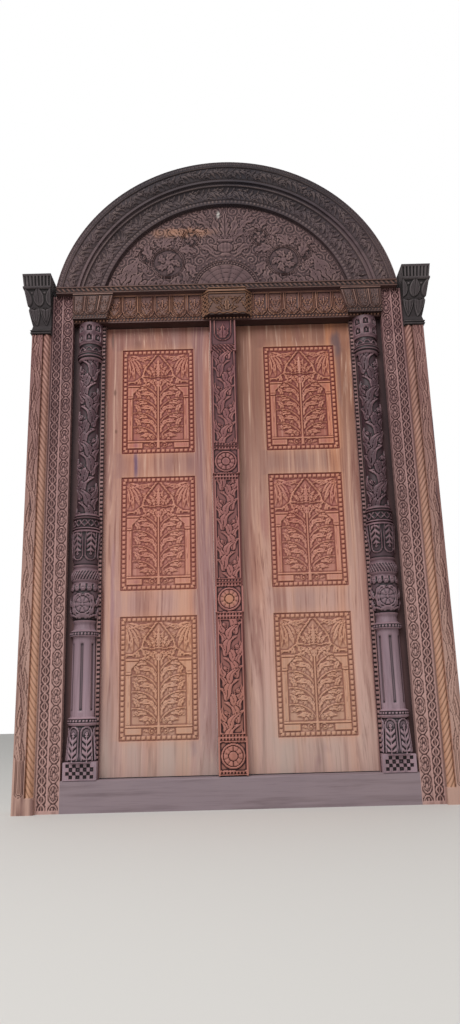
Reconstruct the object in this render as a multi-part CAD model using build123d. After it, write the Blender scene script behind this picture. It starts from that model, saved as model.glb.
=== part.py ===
from build123d import *
from math import cos, pi, radians, sin
import os

# Carved double door under a round arch, in millimetres.
# X runs across the door, Y runs inwards from the street, Z is up.
# The origin is under the middle of the door, on the ground.

# Carving: straight chisel cuts along a leaf's side, half a bowl or wave, a circle, and the arch
cuts_per_curve = 2
cuts_per_bowl = 3
cuts_per_wave = 2
cuts_per_circle = 12
cuts_per_arch = 40

# Doorway
passage_half_width = 605.0
passage_height = 2140.0
sill_height = 130.0
frame_depth = 130.0

# Sill and lintel
lintel_height = 148.0
tenon_length = 66.0
tenon_thickness = 40.0
tenon_shoulder = 26.0
sill_nosing = 6.0

# Stop boards beside the leaves
stop_width = 157.0
stop_thickness = 24.0
stop_clearance = 1.0
bead_width = 18.0
bead_relief = 3.0

# Jambs
jamb_width = 102.0
oval_band_width = 44.0
chain_band_width = 40.0
band_fillet = 8.0
band_depth = 3.0
jamb_foot = 40.0

# Pilasters outside the jambs
pilaster_width = 92.0
pilaster_projection = 25.0
pilaster_foot = 66.0
rope_radius = 16.0
vine_width = 46.0
vine_depth = 4.0
vine_pitch = 195.0
vine_stem = 9.0

# Capitals of the pilasters: rise above the rail, then the height and overhang of each moulding
capital_rise = 52.0
collar_height = 22.0
collar_overhang = 9.0
neck_height = 26.0
neck_overhang = 3.0
cup_height = 84.0
cup_overhang = 20.0
hollow_height = 96.0
hollow_overhang = 40.0
fillet_overhang = 44.0
cornice_fillet = 12.0
cornice_height = 65.0
cornice_overhang = 48.0
flute_count = 8
cornice_flute_width = 7.0
cornice_flute_depth = 4.0

# Colonnettes standing on the sill in front of the stop boards
colonnette_inset = 75.0
colonnette_axis_depth = 8.0
plinth_width = 144.0
plinth_height = 74.0
shaft_radius = 48.0
flute_width = 15.0
flute_depth = 7.0
flute_shares = (0.102, 0.242)

# Arch
arch_clearance = 12.0
arch_rise = 720.0
outer_ring_width = 110.0
outer_ring_projection = 16.0
rim_width = 22.0
rim_bevel = 6.0
rim_groove_width = 8.0
ring_step_width = 13.0
ring_step_depth = 14.0
crown_half_angle = 12.5
inner_ring_width = 115.0
inner_ring_setback = 14.0
ring_hollow_width = 100.0
ring_hollow_depth = 14.0
ring_bead_width = 23.0
ring_bead_setback = 4.0
ring_bead_slope = 6.0
inner_crown_half_angle = 24.0
tympanum_setback = 42.0
tympanum_thickness = 30.0
tympanum_rebate = 18.0
tympanum_lower_height = 314.0
tympanum_relief = 6.0

# Rail under the arch
rail_height = 36.0
rail_clearance = 19.0
rail_projection = 30.0
rail_fillet = 8.0

# Blocks on the face of the lintel
impost_projection = 28.0
impost_top_width = 199.0
impost_bottom_width = 167.0
impost_drop = 12.0
centre_block_half_width = 117.0
centre_block_bevel = 38.0
centre_block_projection = 30.0
petal_pitch = 80.0
petal_margin = 16.0
petal_relief = 5.0

# Leaves
leaf_setback = 65.0
leaf_thickness = 45.0
leaf_end_gap = 4.0
pivot_inset = 20.0
heel_clearance = 4.5
meeting_offset = 88.0
meeting_gap = 7.0
plank_overrun = 4.5
left_edge_plank_width = 70.0
right_edge_plank_width = 102.0

# Carved panels, three up each leaf
panel_width = 353.0
panel_height = 546.0
panel_top_margin = 121.0
panel_bottom_margin = 149.0
panel_inset = 256.0
panel_border = 25.0
panel_groove = 5.0
panel_relief = 6.0

# Centre post on the right leaf
post_width = 126.0
post_thickness = 60.0
post_shaft_width = 112.0
post_base_height = 158.0
post_top_height = 165.0
rosette_radius = 52.0
rosette_relief = 5.0
rosette_rim = 9.0
petal_reach = 38.0
notch_reach = 15.0
rosette_shares = (0.353, 0.656)
post_shoulder_depth = 18.0
post_leaf_pitch = 120.0
post_leaf_width = 26.0
post_leaf_relief = 5.0

# Ledges let into the backs of the leaves
ledge_height = 84.0
ledge_thickness = 30.0
ledge_tongue = 10.0
ledge_neck_height = 52.0
ledge_root_height = 62.0
ledge_swing_room = 50.0
ledge_meeting_room = 25.0
ledge_end_margin = 78.0

# Iron pintles and sockets
pintle_radius = 11.0
tang_length = 70.0
tang_width = 15.0
socket_width = 40.0
socket_depth = 38.0
pintle_depth = 30.0
pintle_clearance = 0.3

# Wooden pegs through the frame's tenons
peg_width = 16.0
peg_overrun = 7.0

# Levels and places worked out from the sizes above
sill_top = sill_height
lintel_bottom = sill_top + passage_height
lintel_top = lintel_bottom + lintel_height
springing = lintel_top + rail_height
jamb_inner = passage_half_width + stop_width
jamb_outer = jamb_inner + jamb_width
pilaster_outer = jamb_outer + pilaster_width
capital_heights = (collar_height, neck_height, cup_height, hollow_height, cornice_fillet, cornice_height)
pilaster_height = springing + capital_rise - sum(capital_heights)
arch_half_width = jamb_outer - arch_clearance
rail_half_width = jamb_outer - rail_clearance
arch_radius = (arch_half_width ** 2 + arch_rise ** 2) / (2 * arch_rise)
arch_centre = springing + arch_rise - arch_radius
ring_joint_radius = arch_radius - outer_ring_width
inner_ring_bore = ring_joint_radius - inner_ring_width
pivot_x = passage_half_width + pivot_inset
heel_radius = leaf_thickness / 2
leaf_back = leaf_setback + leaf_thickness
ledge_back = leaf_back + ledge_thickness
stop_back = leaf_setback - stop_clearance
stop_front = stop_back - stop_thickness
leaf_bottom = sill_top + leaf_end_gap
leaf_top = lintel_bottom - leaf_end_gap
cornice_front = -(pilaster_projection + cornice_overhang)
face_y = -(cornice_front + ledge_back) / 2
tenon_setback = (frame_depth - tenon_thickness) / 2
peg_front = tenon_setback - peg_overrun
meeting_x = -meeting_offset
slit_x = meeting_x - meeting_gap
panel_centre_x = passage_half_width - panel_inset
panel_pitch = (passage_height - panel_top_margin - panel_bottom_margin - panel_height) / 2
panel_lowest_centre = panel_bottom_margin + panel_height / 2
ledge_levels = (
    ledge_end_margin,
    panel_lowest_centre + panel_pitch / 2,
    panel_lowest_centre + panel_pitch * 3 / 2,
    passage_height - ledge_end_margin,
)


def board(x0, x1, front, back, z0, z1):
    """Board between two widths, two setbacks behind the jambs' face, and two heights."""
    middle = Pos((x0 + x1) / 2, face_y + (front + back) / 2, (z0 + z1) / 2)
    return middle * Box(x1 - x0, back - front, z1 - z0)


def plate(outline, front, back):
    """Plate with an outline drawn in X and Z, between two setbacks."""
    return extrude(Plane.XZ.offset(-face_y - back) * outline, back - front)


def rectangle(x0, x1, z0, z1):
    """Upright rectangle, as an outline."""
    return Pos((x0 + x1) / 2, (z0 + z1) / 2) * Rectangle(x1 - x0, z1 - z0)


def bow_points(start, end, shift):
    """Points of a curve made in straight chisel cuts, bowed to the left of its chord by shift."""
    start = Vector(*start)
    along = Vector(*end) - start
    side = Vector(-along.Y, along.X).normalized()
    shares = [step / cuts_per_curve for step in range(cuts_per_curve + 1)]
    return [start + along * share + side * (4 * shift * share * (1 - share)) for share in shares]


def outline_between(upper, lower):
    """Outline that runs out along one row of points and back along another."""
    return make_face(Polyline(*upper, *lower[::-1], close=True))


def blade(start, end, bow, width):
    """Leaf outline between two points, bowed to the left and width across."""
    upper = bow_points(start, end, bow + width / 2)
    lower = bow_points(start, end, bow - width / 2)
    return outline_between(upper, lower[1:-1])


def ribbon(start, end, bow, width):
    """Band of even width between two points, bowed to the left."""
    middle = bow_points(start, end, bow)
    along = (middle[-1] - middle[0]).normalized()
    side = Vector(-along.Y, along.X) * width / 2
    return outline_between([point + side for point in middle], [point - side for point in middle])


def ring(radius, width):
    """Ring about the origin, cut in straight facets."""
    return RegularPolygon(radius, cuts_per_circle) - RegularPolygon(radius - width, cuts_per_circle)


def flower(tip_radius, notch_radius):
    """Six pointed petals about the origin, in one outline."""
    points = []
    for step in range(12):
        turn = radians(step * 30)
        reach = notch_radius if step % 2 else tip_radius
        points.append((reach * sin(turn), reach * cos(turn)))
    return make_face(Polyline(*points, close=True))


def both_sides(outlines):
    """The outlines given for the right-hand side, with their mirror images."""
    return outlines + [mirror(outline, about=Plane.YZ) for outline in outlines]


def carve(field, outlines):
    """The ground that is cut away between raised outlines."""
    ground = field
    for outline in outlines:
        ground = ground - outline
    return ground


def other_side(piece):
    """Mirror image of a right-hand piece."""
    return mirror(piece, about=Plane.YZ)


# Sill and lintel

def tenon(side, z0, z1):
    """Tenon on the right or left end of a cross piece."""
    x0, x1 = sorted((side * jamb_inner, side * (jamb_inner + tenon_length)))
    back = tenon_setback + tenon_thickness
    return board(x0, x1, tenon_setback, back, z0 + tenon_shoulder, z1 - tenon_shoulder)


def peg(side, z):
    """Square peg driven from the back through a jamb and its tenon."""
    x = side * (jamb_inner + tenon_length / 2)
    half = peg_width / 2
    return board(x - half, x + half, peg_front, frame_depth, z - half, z + half)


def frame_pegs():
    """The pegs of the four corner joints of the frame."""
    levels = (sill_top / 2, lintel_bottom + lintel_height / 2)
    return [peg(side, z) for side in (-1, 1) for z in levels]


def socket_block(side, z0, z1):
    """Square block of an iron socket at a leaf's pivot."""
    middle = leaf_setback + leaf_thickness / 2
    half = socket_width / 2
    x = side * pivot_x
    return board(x - half, x + half, middle - half, middle + half, z0, z1)


def make_sill():
    body = board(-jamb_inner, jamb_inner, 0, frame_depth, 0, sill_top)
    front_edge = body.edges().filter_by(Axis.X).group_by(Axis.Y)[0]
    body = chamfer(front_edge.sort_by(Axis.Z)[-1], sill_nosing)
    for side in (-1, 1):
        body += tenon(side, 0, sill_top)
        body -= socket_block(side, sill_top - socket_depth, sill_top)
    return body - frame_pegs()


def u_shape(x, half_width, z0, z1):
    """Outline of an upright tongue with a round lower end, open to the top level."""
    shoulder = z0 + half_width
    turns = [pi * step / cuts_per_bowl for step in range(cuts_per_bowl + 1)]
    bowl = [(x - half_width * cos(turn), shoulder - half_width * sin(turn)) for turn in turns]
    return make_face(Polyline((x - half_width, z1), *bowl, (x + half_width, z1), close=True))


def petal(x, half_width, z0, z1):
    """Lotus petal: an open U with a pointed leaf inside."""
    band = half_width * 0.2
    u_band = u_shape(x, half_width, z0, z1) - u_shape(x, half_width - band, z0 + band, z1)
    tongue = blade((x, z0 + half_width * 0.5), (x, z1 - band), 0, half_width * 0.6)
    return [u_band, tongue]


def make_lintel():
    body = board(-jamb_inner, jamb_inner, 0, frame_depth, lintel_bottom, lintel_top)
    z0 = lintel_bottom + petal_margin
    z1 = lintel_top - petal_margin
    first = centre_block_half_width
    last = jamb_inner - impost_top_width
    count = int((last - first) // petal_pitch)
    start = (first + last - (count - 1) * petal_pitch) / 2
    petals = []
    for index in range(count):
        petals += petal(start + index * petal_pitch, petal_pitch * 0.44, z0, z1)
    ground = carve(rectangle(first, last, z0, z1), petals)
    for side_ground in (ground, mirror(ground, about=Plane.YZ)):
        body -= plate(side_ground, 0, petal_relief)
    for side in (-1, 1):
        body += tenon(side, lintel_bottom, lintel_top)
        body -= socket_block(side, lintel_bottom, lintel_bottom + socket_depth)
    return body - frame_pegs()


def make_impost():
    """Block over a colonnette, with its inner end cut to a slant."""
    inner_top = jamb_inner - impost_top_width
    inner_bottom = jamb_inner - impost_bottom_width
    z0 = lintel_bottom + impost_drop
    corners = [(inner_bottom, z0), (jamb_inner, z0), (jamb_inner, lintel_top), (inner_top, lintel_top)]
    body = plate(make_face(Polyline(*corners, close=True)), -impost_projection, 0)
    pitch = impost_bottom_width / 3
    petals = []
    for index in range(3):
        x = inner_bottom + pitch * (index + 0.5)
        petals += petal(x, pitch * 0.46, z0 + petal_margin, lintel_top - petal_margin)
    field = rectangle(inner_bottom, jamb_inner, z0 + petal_margin, lintel_top - petal_margin)
    return body - plate(carve(field, petals), -impost_projection, petal_relief - impost_projection)


def make_centre_block():
    """Boss in the middle of the lintel, bevelled at both ends, with scrolls and a tulip."""
    half = centre_block_half_width
    face_half = half - centre_block_bevel
    out = -centre_block_projection
    plan = [(-half, 0), (-face_half, out), (face_half, out), (half, 0)]
    sheet = make_face(Polyline(*[(x, face_y + s) for x, s in plan], close=True))
    z0 = lintel_bottom + impost_drop
    height = lintel_top - z0
    body = extrude(Plane.XY.offset(z0) * sheet, height)
    middle = z0 + height / 2
    scroll = ribbon((4, lintel_top - 16), (face_half - 8, lintel_top - 24), -22, 7)
    lobe = ribbon((6, middle), (face_half - 6, middle + 10), -34, 7)
    tulip = blade((0, z0 + 20), (0, middle + 26), 0, 34)
    raised = both_sides([scroll, lobe]) + [tulip]
    field = rectangle(-face_half + 4, face_half - 4, z0 + 10, lintel_top - 10)
    return body - plate(carve(field, raised), out, out + petal_relief)


# Jambs, pilasters and stop boards

def make_jamb():
    body = board(jamb_inner, jamb_outer, 0, frame_depth, 0, lintel_top)
    oval_x = jamb_inner + band_fillet / 2
    chain_x = oval_x + oval_band_width + band_fillet
    body -= board(oval_x, oval_x + oval_band_width, 0, band_depth, jamb_foot, lintel_top)
    body -= board(chain_x, chain_x + chain_band_width, 0, band_depth, jamb_foot, lintel_top)
    body -= tenon(1, 0, sill_top)
    body -= tenon(1, lintel_bottom, lintel_top)
    return body - frame_pegs()


def make_hanging_stile():
    """Post behind the stop board, beside the leaf's round heel."""
    inner = pivot_x + heel_radius + heel_clearance
    return board(inner, jamb_inner, stop_back, frame_depth, sill_top, lintel_bottom)


def make_stop():
    """Board in front of the leaf's edge, with a raised bead strip along its inner edge."""
    body = board(passage_half_width, jamb_inner, stop_front, stop_back, sill_top, lintel_bottom)
    strip_end = passage_half_width + bead_width
    sunk = board(strip_end, jamb_inner, stop_front, stop_front + bead_relief, sill_top, lintel_bottom)
    return body - sunk


def make_pilaster():
    """Outer post with a rope moulding beside a band of winding vine."""
    front = -pilaster_projection
    body = board(jamb_outer, pilaster_outer, front, frame_depth, 0, pilaster_height)
    rope_x = jamb_outer + rope_radius + 6
    rope_length = pilaster_height - pilaster_foot
    middle = pilaster_foot + rope_length / 2
    rope_end = rope_x + rope_radius
    body -= board(jamb_outer, rope_end, front, front + rope_radius, pilaster_foot, pilaster_height)
    body += Pos(rope_x, face_y + front + rope_radius, middle) * Cylinder(rope_radius, rope_length)
    vine_x0 = rope_x + rope_radius + 3
    vine_x1 = vine_x0 + vine_width
    field = rectangle(vine_x0, vine_x1, pilaster_foot + vine_width / 2, pilaster_height)
    x_middle = (vine_x0 + vine_x1) / 2
    field += Pos(x_middle, pilaster_foot + vine_width / 2) * RegularPolygon(vine_width / 2, cuts_per_circle)
    half_pitch = vine_pitch / 2
    start = pilaster_foot + vine_stem
    half_waves = int((pilaster_height - start) // half_pitch)
    sway = vine_width / 2 - vine_stem
    stem = []
    for step in range(half_waves * cuts_per_wave + 1):
        x = x_middle + sway * sin(pi * step / cuts_per_wave)
        stem.append((x, start + step * half_pitch / cuts_per_wave))
    left = [(x - vine_stem / 2, z) for x, z in stem]
    right = [(x + vine_stem / 2, z) for x, z in stem]
    return body - plate(field - outline_between(left, right), front, front + vine_depth)


def capital_profile():
    """Overhang and height up the capital: collar, neck, lotus cup, hollow, fillet and cornice."""
    levels = [pilaster_height]
    for height in capital_heights:
        levels.append(levels[-1] + height)
    base, neck, cup, hollow, fillet, cornice, top = levels
    return [
        (collar_overhang, base), (collar_overhang, neck), (neck_overhang, cup), (cup_overhang, hollow),
        (hollow_overhang, fillet), (fillet_overhang, fillet), (fillet_overhang, cornice),
        (hollow_overhang, cornice), (cornice_overhang, top),
    ]


def make_pilaster_capital():
    """Capital cut from one block: the same mouldings across the front and down the outer side."""
    profile = capital_profile()
    bottom = profile[0][1]
    top = profile[-1][1]
    front = face_y - pilaster_projection
    back = face_y + frame_depth
    side_view = [(front - overhang, z) for overhang, z in profile] + [(back, top), (back, bottom)]
    front_view = [(pilaster_outer + overhang, z) for overhang, z in profile]
    front_view += [(jamb_outer, top), (jamb_outer, bottom)]
    across = extrude(Plane.YZ * make_face(Polyline(*side_view, close=True)), 2 * pilaster_outer)
    inwards = plate(make_face(Polyline(*front_view, close=True)), -frame_depth, 2 * frame_depth)
    body = across & inwards
    cornice_bottom = top - cornice_height
    pitch = (pilaster_outer + hollow_overhang - jamb_outer) / flute_count
    out = -pilaster_projection - cornice_overhang
    flute_back = out + cornice_overhang - hollow_overhang + cornice_flute_depth
    for index in range(flute_count):
        x0 = jamb_outer + pitch * (index + 0.5) - cornice_flute_width / 2
        flute_top = top - cornice_fillet
        body -= board(x0, x0 + cornice_flute_width, out, flute_back, cornice_bottom, flute_top)
    return body


# Colonnettes

def colonnette_profile():
    """Shares of the shaft's radius and of the height from the plinth to the lintel.

    Upwards: leaf vase, fluted shaft, bead ring, rosette bulb, rope ring, second vase, band,
    foliage shaft, double ring and pierced head.
    """
    return [
        (1.33, 0), (1.08, 0.075), (1.19, 0.077), (1.19, 0.087), (1.0, 0.089),
        (1.0, 0.256), (1.19, 0.26), (1.19, 0.266), (0.79, 0.275), (0.79, 0.3),
        (1.25, 0.334), (0.92, 0.373), (1.21, 0.387), (0.96, 0.406),
        (1.25, 0.486), (1.12, 0.492), (1.12, 0.523), (1.02, 0.527),
        (1.02, 0.905), (1.21, 0.911), (1.21, 0.924), (1.04, 0.945), (1.04, 1),
    ]


def make_colonnette():
    """Carved colonnette with a flat back, on a square plinth, worked to its profile from six sides."""
    x = passage_half_width + colonnette_inset
    back = stop_front
    base = sill_top + plinth_height
    tall = lintel_bottom - base
    right_edge = [(shaft_radius * out, base + tall * up) for out, up in colonnette_profile()]
    left_edge = [(-radius, z) for radius, z in right_edge]
    silhouette = make_face(Polyline(*right_edge, *left_edge[::-1], close=True))
    slab = extrude(Plane.XZ * silhouette, plinth_width, both=True)
    body = slab
    for step in range(1, cuts_per_circle // 2):
        body = body & Rot(0, 0, 360 * step / cuts_per_circle) * slab
    body = Pos(x, face_y + back + colonnette_axis_depth, 0) * body
    flute_front = back + colonnette_axis_depth - shaft_radius
    flute_bottom, flute_top = (base + tall * share for share in flute_shares)
    slot = rectangle(x - flute_width / 2, x + flute_width / 2, flute_bottom, flute_top)
    body -= plate(slot, flute_front, flute_front + flute_depth)
    body -= board(x - plinth_width, x + plinth_width, back, back + plinth_width, sill_top, lintel_bottom)
    half = plinth_width / 2
    return body + board(x - half, x + half, 0, back, sill_top, base)


# Arch

def ring_sector(section, from_angle, to_angle):
    """Turn a section of radius and setback about the arch's centre, angles from the crown."""
    corners = [(radius, face_y + setback) for radius, setback in section]
    flat = make_face(Polyline(*corners, close=True))
    start = Rot(0, -90 + from_angle, 0) * flat
    turned = revolve(start, Axis.Y, to_angle - from_angle)
    return Pos(0, 0, arch_centre) * turned


def outer_ring_section():
    """Zigzag rim, groove, swelling foliage band and step, front side first."""
    r = arch_radius
    out = -outer_ring_projection
    inner = ring_joint_radius
    groove = r - rim_width - rim_groove_width
    step = inner + ring_step_width
    sunk = out + ring_step_depth
    return [
        (r, frame_depth), (r, out + rim_bevel), (r - rim_width, out), (groove, out + rim_bevel),
        ((groove + step) / 2, out), (step, sunk), (inner, sunk), (inner, frame_depth),
    ]


def inner_ring_section():
    """Hollow foliage band and bead row, with a rebate behind for the tympanum."""
    r = ring_joint_radius
    bore = inner_ring_bore
    out = inner_ring_setback
    rebate = bore + tympanum_rebate
    bead = out + ring_bead_setback
    return [
        (r, frame_depth), (r, out), (r - ring_hollow_width / 2, out + ring_hollow_depth),
        (bore + ring_bead_width, bead), (bore, bead + ring_bead_slope), (bore, tympanum_setback),
        (rebate, tympanum_setback), (rebate, frame_depth),
    ]


def above_springing(piece):
    """Trim what lies below the rail."""
    below = board(-2 * arch_radius, 2 * arch_radius, -frame_depth, 2 * frame_depth, 0, springing)
    return piece - below


def make_ring_side(section, joint_angle):
    return above_springing(ring_sector(section, joint_angle, 100))


def make_ring_crown(section, joint_angle):
    return ring_sector(section, -joint_angle, joint_angle)


def tympanum_carving():
    """Raised carving: half-round fan, vase with its plant, side medallions and scrolls.

    Places and widths are shares of the height that shows inside the ring.
    """
    height = arch_centre + inner_ring_bore - springing

    def at(across, up):
        return height * across, springing + height * up

    def stem(start, end, bow):
        return ribbon(at(*start), at(*end), height * bow, height * 0.022)

    def leaf(start, end, bow, width):
        return blade(at(*start), at(*end), height * bow, height * width)

    above = rectangle(-arch_radius, arch_radius, springing, springing + arch_radius)
    fan = [(Pos(0, springing) * ring(height * reach, height * 0.024)) & above for reach in (0.20, 0.30)]
    turns = [radians(step * 24) for step in range(-3, 4)]
    rays = []
    for turn in turns:
        near = (0.07 * sin(turn), 0.07 * cos(turn))
        far = (0.165 * sin(turn), 0.165 * cos(turn))
        rays.append(leaf(near, far, 0, 0.03))
    medallion = Pos(*at(0.475, 0.303)) * ring(height * 0.17, height * 0.02)
    heart = Pos(*at(0.475, 0.303)) * flower(height * 0.085, height * 0.032)
    scrolls = [
        stem((0.06, 0.404), (0.667, 0.505), 0.105),
        stem((0.667, 0.505), (0.97, 0.222), 0.053),
        leaf((0.667, 0.202), (0.848, 0.384), 0.024, 0.069),
        leaf((0.667, 0.081), (0.808, 0.182), -0.02, 0.053),
        leaf((0.889, 0.121), (1.05, 0.263), 0.02, 0.061),
        leaf((0.242, 0.505), (0.121, 0.598), 0.016, 0.053),
        stem((0.04, 0.687), (0.505, 0.707), 0.149),
        leaf((0.121, 0.707), (0.081, 0.889), 0.012, 0.061),
        leaf((0.242, 0.679), (0.303, 0.80), -0.016, 0.057),
        leaf((0.424, 0.659), (0.586, 0.76), 0.024, 0.053),
    ]
    vase = [Pos(*at(0, 0.475)) * flower(height * 0.10, height * 0.06), leaf((0, 0.59), (0, 0.909), 0, 0.081)]
    return both_sides([medallion, heart] + scrolls) + fan + rays + vase


def tympanum_disc():
    """The whole filling of the arch, as an outline that stops at the springing."""
    radius = inner_ring_bore + tympanum_rebate
    disc = Pos(0, arch_centre) * Circle(radius)
    return disc & rectangle(-radius, radius, springing, arch_centre + radius)


def carved_ground():
    """Ground of the tympanum that shows inside the ring and is cut away."""
    sight = Pos(0, arch_centre) * RegularPolygon(inner_ring_bore - 12, cuts_per_arch)
    sight = sight & rectangle(-arch_radius, arch_radius, springing + 10, arch_centre + arch_radius)
    return carve(sight, tympanum_carving())


def make_tympanum_board(ground, z0, z1):
    outline = tympanum_disc() & rectangle(-arch_radius, arch_radius, z0, z1)
    body = plate(outline, tympanum_setback, tympanum_setback + tympanum_thickness)
    part = ground & rectangle(-arch_radius, arch_radius, z0, z1)
    return body - plate(part, tympanum_setback, tympanum_setback + tympanum_relief)


def make_rail():
    """Rail between the lintel and the arch, with a sunk band between two fillets."""
    front = -rail_projection
    body = board(-rail_half_width, rail_half_width, front, frame_depth, lintel_top, springing)
    z0 = lintel_top + rail_fillet
    z1 = springing - rail_fillet
    return body - board(-rail_half_width, rail_half_width, front, front + band_depth, z0, z1)


# Leaves

def panel_carving():
    """Raised parts of one carved panel, about its own centre.

    Places are shares of half the field, and widths are shares of half its width.
    """
    w = panel_width / 2 - panel_border
    h = panel_height / 2 - panel_border

    def line(start, end, bow):
        return ribbon((w * start[0], h * start[1]), (w * end[0], h * end[1]), w * bow, w * 0.053)

    def leaf(start, end, bow, width):
        return blade((w * start[0], h * start[1]), (w * end[0], h * end[1]), w * bow, w * width)

    cusp = (0.42, 0.46)
    arch = [
        line((0.01, 0.95), cusp, 0.066),
        line(cusp, (0.83, 0.27), -0.053),
        rectangle(w * 0.85, w, -h * 0.74, h * 0.22),
    ]
    spandrel = [leaf((0.30, 0.92), (0.92, 0.50), 0.053, 0.22)]
    tree = [
        leaf((0.01, -0.72), (0.80, -0.58), -0.17, 0.066),
        leaf((0.01, -0.46), (0.80, -0.22), -0.22, 0.066),
        leaf((0.01, -0.12), (0.74, 0.12), -0.21, 0.066),
        leaf((0.14, -0.60), (0.74, -0.40), 0.026, 0.21),
        leaf((0.16, -0.30), (0.72, -0.04), 0.026, 0.22),
        leaf((0.12, 0.04), (0.60, 0.26), 0.026, 0.20),
    ]
    trunk = [rectangle(-w * 0.026, w * 0.026, -h * 0.80, h * 0.32), leaf((0, 0.28), (0, 0.84), 0, 0.24)]
    return both_sides(arch + spandrel + tree) + trunk


def panel_grooves():
    """Ground of one panel: a groove, the bead border, a second groove and the field."""
    w = panel_width
    h = panel_height
    g = 2 * panel_groove
    b = 2 * panel_border
    outer = Rectangle(w, h) - Rectangle(w - g, h - g)
    field = Rectangle(w - b + g, h - b + g)
    return outer, carve(field, panel_carving())


def panel_centres(side):
    """Centres of the three panels of a leaf."""
    levels = [sill_top + panel_lowest_centre + index * panel_pitch for index in range(3)]
    return [(side * panel_centre_x, level) for level in levels]


def ledge_section(z, extra):
    """Dovetail tongue in Y and Z; the ledge's own body is added when extra is given."""
    neck = ledge_neck_height / 2
    root = ledge_root_height / 2
    back = face_y + leaf_back
    outline = [(back - ledge_tongue, z - root), (back - ledge_tongue, z + root), (back, z + neck)]
    if extra:
        half = ledge_height / 2
        out = back + ledge_thickness
        outline += [(back, z + half), (out, z + half), (out, z - half), (back, z - half)]
    outline += [(back, z - neck)]
    return make_face(Polyline(*outline, close=True))


def ledge(side, level, extra=True):
    """Ledge across the back of a leaf, held by its dovetail, clear of the swinging heel."""
    z = sill_top + level
    x_heel = side * (pivot_x - ledge_swing_room)
    x_meeting = slit_x - ledge_meeting_room if side < 0 else meeting_x + ledge_meeting_room
    x0, x1 = sorted((x_heel, x_meeting))
    section = Plane.YZ.offset(x0) * ledge_section(z, extra)
    return extrude(section, x1 - x0)


def pin(side, z0, z1, radius):
    """Upright round pin or hole on a leaf's pivot line."""
    y = face_y + leaf_setback + leaf_thickness / 2
    return Pos(side * pivot_x, y, (z0 + z1) / 2) * Cylinder(radius, z1 - z0)


def tang(side, z0, z1):
    """Square tang of a pintle, or its mortise in the leaf's heel."""
    middle = leaf_setback + leaf_thickness / 2
    half = tang_width / 2
    x = side * pivot_x
    return board(x - half, x + half, middle - half, middle + half, z0, z1)


def make_leaf_planks(side, grooves):
    """Wide carved plank and narrow edge plank of one leaf."""
    heel = side * pivot_x
    y = face_y + leaf_setback + leaf_thickness / 2
    meeting = slit_x if side < 0 else meeting_x - plank_overrun
    middle = (leaf_bottom + leaf_top) / 2
    x0, x1 = sorted((heel, meeting))
    whole = board(x0, x1, leaf_setback, leaf_back, leaf_bottom, leaf_top)
    whole += Pos(heel, y, middle) * Cylinder(heel_radius, leaf_top - leaf_bottom)
    whole -= tang(side, leaf_bottom, leaf_bottom + tang_length)
    whole -= tang(side, leaf_top - tang_length, leaf_top)
    for level in ledge_levels:
        whole -= ledge(side, level, extra=False)
    seam = slit_x - left_edge_plank_width if side < 0 else pivot_x + heel_radius - right_edge_plank_width
    reach = 2 * pivot_x
    left_part = board(-reach, seam, leaf_setback, leaf_back, leaf_bottom, leaf_top)
    right_part = board(seam, reach, leaf_setback, leaf_back, leaf_bottom, leaf_top)
    wide = whole & left_part
    narrow = whole & right_part
    for x, z in panel_centres(side):
        for ground in grooves:
            wide -= plate(Pos(x, z) * ground, leaf_setback, leaf_setback + panel_relief)
    return wide, narrow


def make_pintles(side):
    """Iron pins standing out of the two ends of a leaf's heel, each with a square tang."""
    low = sill_top - pintle_depth + pintle_clearance
    high = lintel_bottom + pintle_depth - pintle_clearance
    bottom = pin(side, low, leaf_bottom, pintle_radius) + tang(side, leaf_bottom, leaf_bottom + tang_length)
    top = pin(side, leaf_top, high, pintle_radius) + tang(side, leaf_top - tang_length, leaf_top)
    return Compound(children=[bottom, top])


def make_sockets():
    """Square iron cups for the pintles, let into the sill and the lintel."""
    cups = []
    bore = pintle_radius + pintle_clearance
    for side in (-1, 1):
        low = socket_block(side, sill_top - socket_depth, sill_top)
        cups.append(low - pin(side, sill_top - pintle_depth, sill_top, bore))
        high = socket_block(side, lintel_bottom, lintel_bottom + socket_depth)
        cups.append(high - pin(side, lintel_bottom, lintel_bottom + pintle_depth, bore))
    return Compound(children=cups)


def rosette(x, z, front):
    """Ringed rosette with six petals, raised on the post."""
    outlines = ring(rosette_radius, rosette_rim) + flower(petal_reach, notch_reach)
    return plate(Pos(x, z) * outlines, front - rosette_relief, front)


def make_centre_post():
    """Carved cover post on the right leaf's meeting edge."""
    x0 = meeting_x
    x1 = meeting_x + post_width
    x = (x0 + x1) / 2
    back = leaf_setback
    front = back - post_thickness
    inset = (post_width - post_shaft_width) / 2
    body = board(x0, x1, front, back, leaf_bottom, leaf_top)
    shaft_bottom = leaf_bottom + post_base_height
    shaft_top = leaf_top - post_top_height
    for edge_x in (x0, x1 - inset):
        body -= board(edge_x, edge_x + inset, front, front + post_shoulder_depth, shaft_bottom, shaft_top)
    tulip_z = leaf_top - post_top_height + 34
    u_half = post_width / 2 - 12
    tulip = petal(x, u_half, tulip_z, leaf_top)
    field = rectangle(x0 + 6, x1 - 6, tulip_z - 4, leaf_top)
    body -= plate(carve(field, tulip), front, front + 4)
    levels = [sill_top + passage_height * share for share in rosette_shares]
    for level in levels:
        wide_block = board(x0, x1, front, back, level - rosette_radius, level + rosette_radius)
        body += wide_block + rosette(x, level, front)
    base = leaf_bottom + post_base_height / 2 - 8
    body += rosette(x, base, front)
    lower_ends = [shaft_bottom] + [level + rosette_radius for level in levels]
    upper_ends = [level - rosette_radius for level in levels] + [shaft_top]
    for z0, z1 in zip(lower_ends, upper_ends):
        body -= plate(post_foliage(x, z0 + 12, z1 - 12), front, front + post_leaf_relief)
    return body


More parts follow.
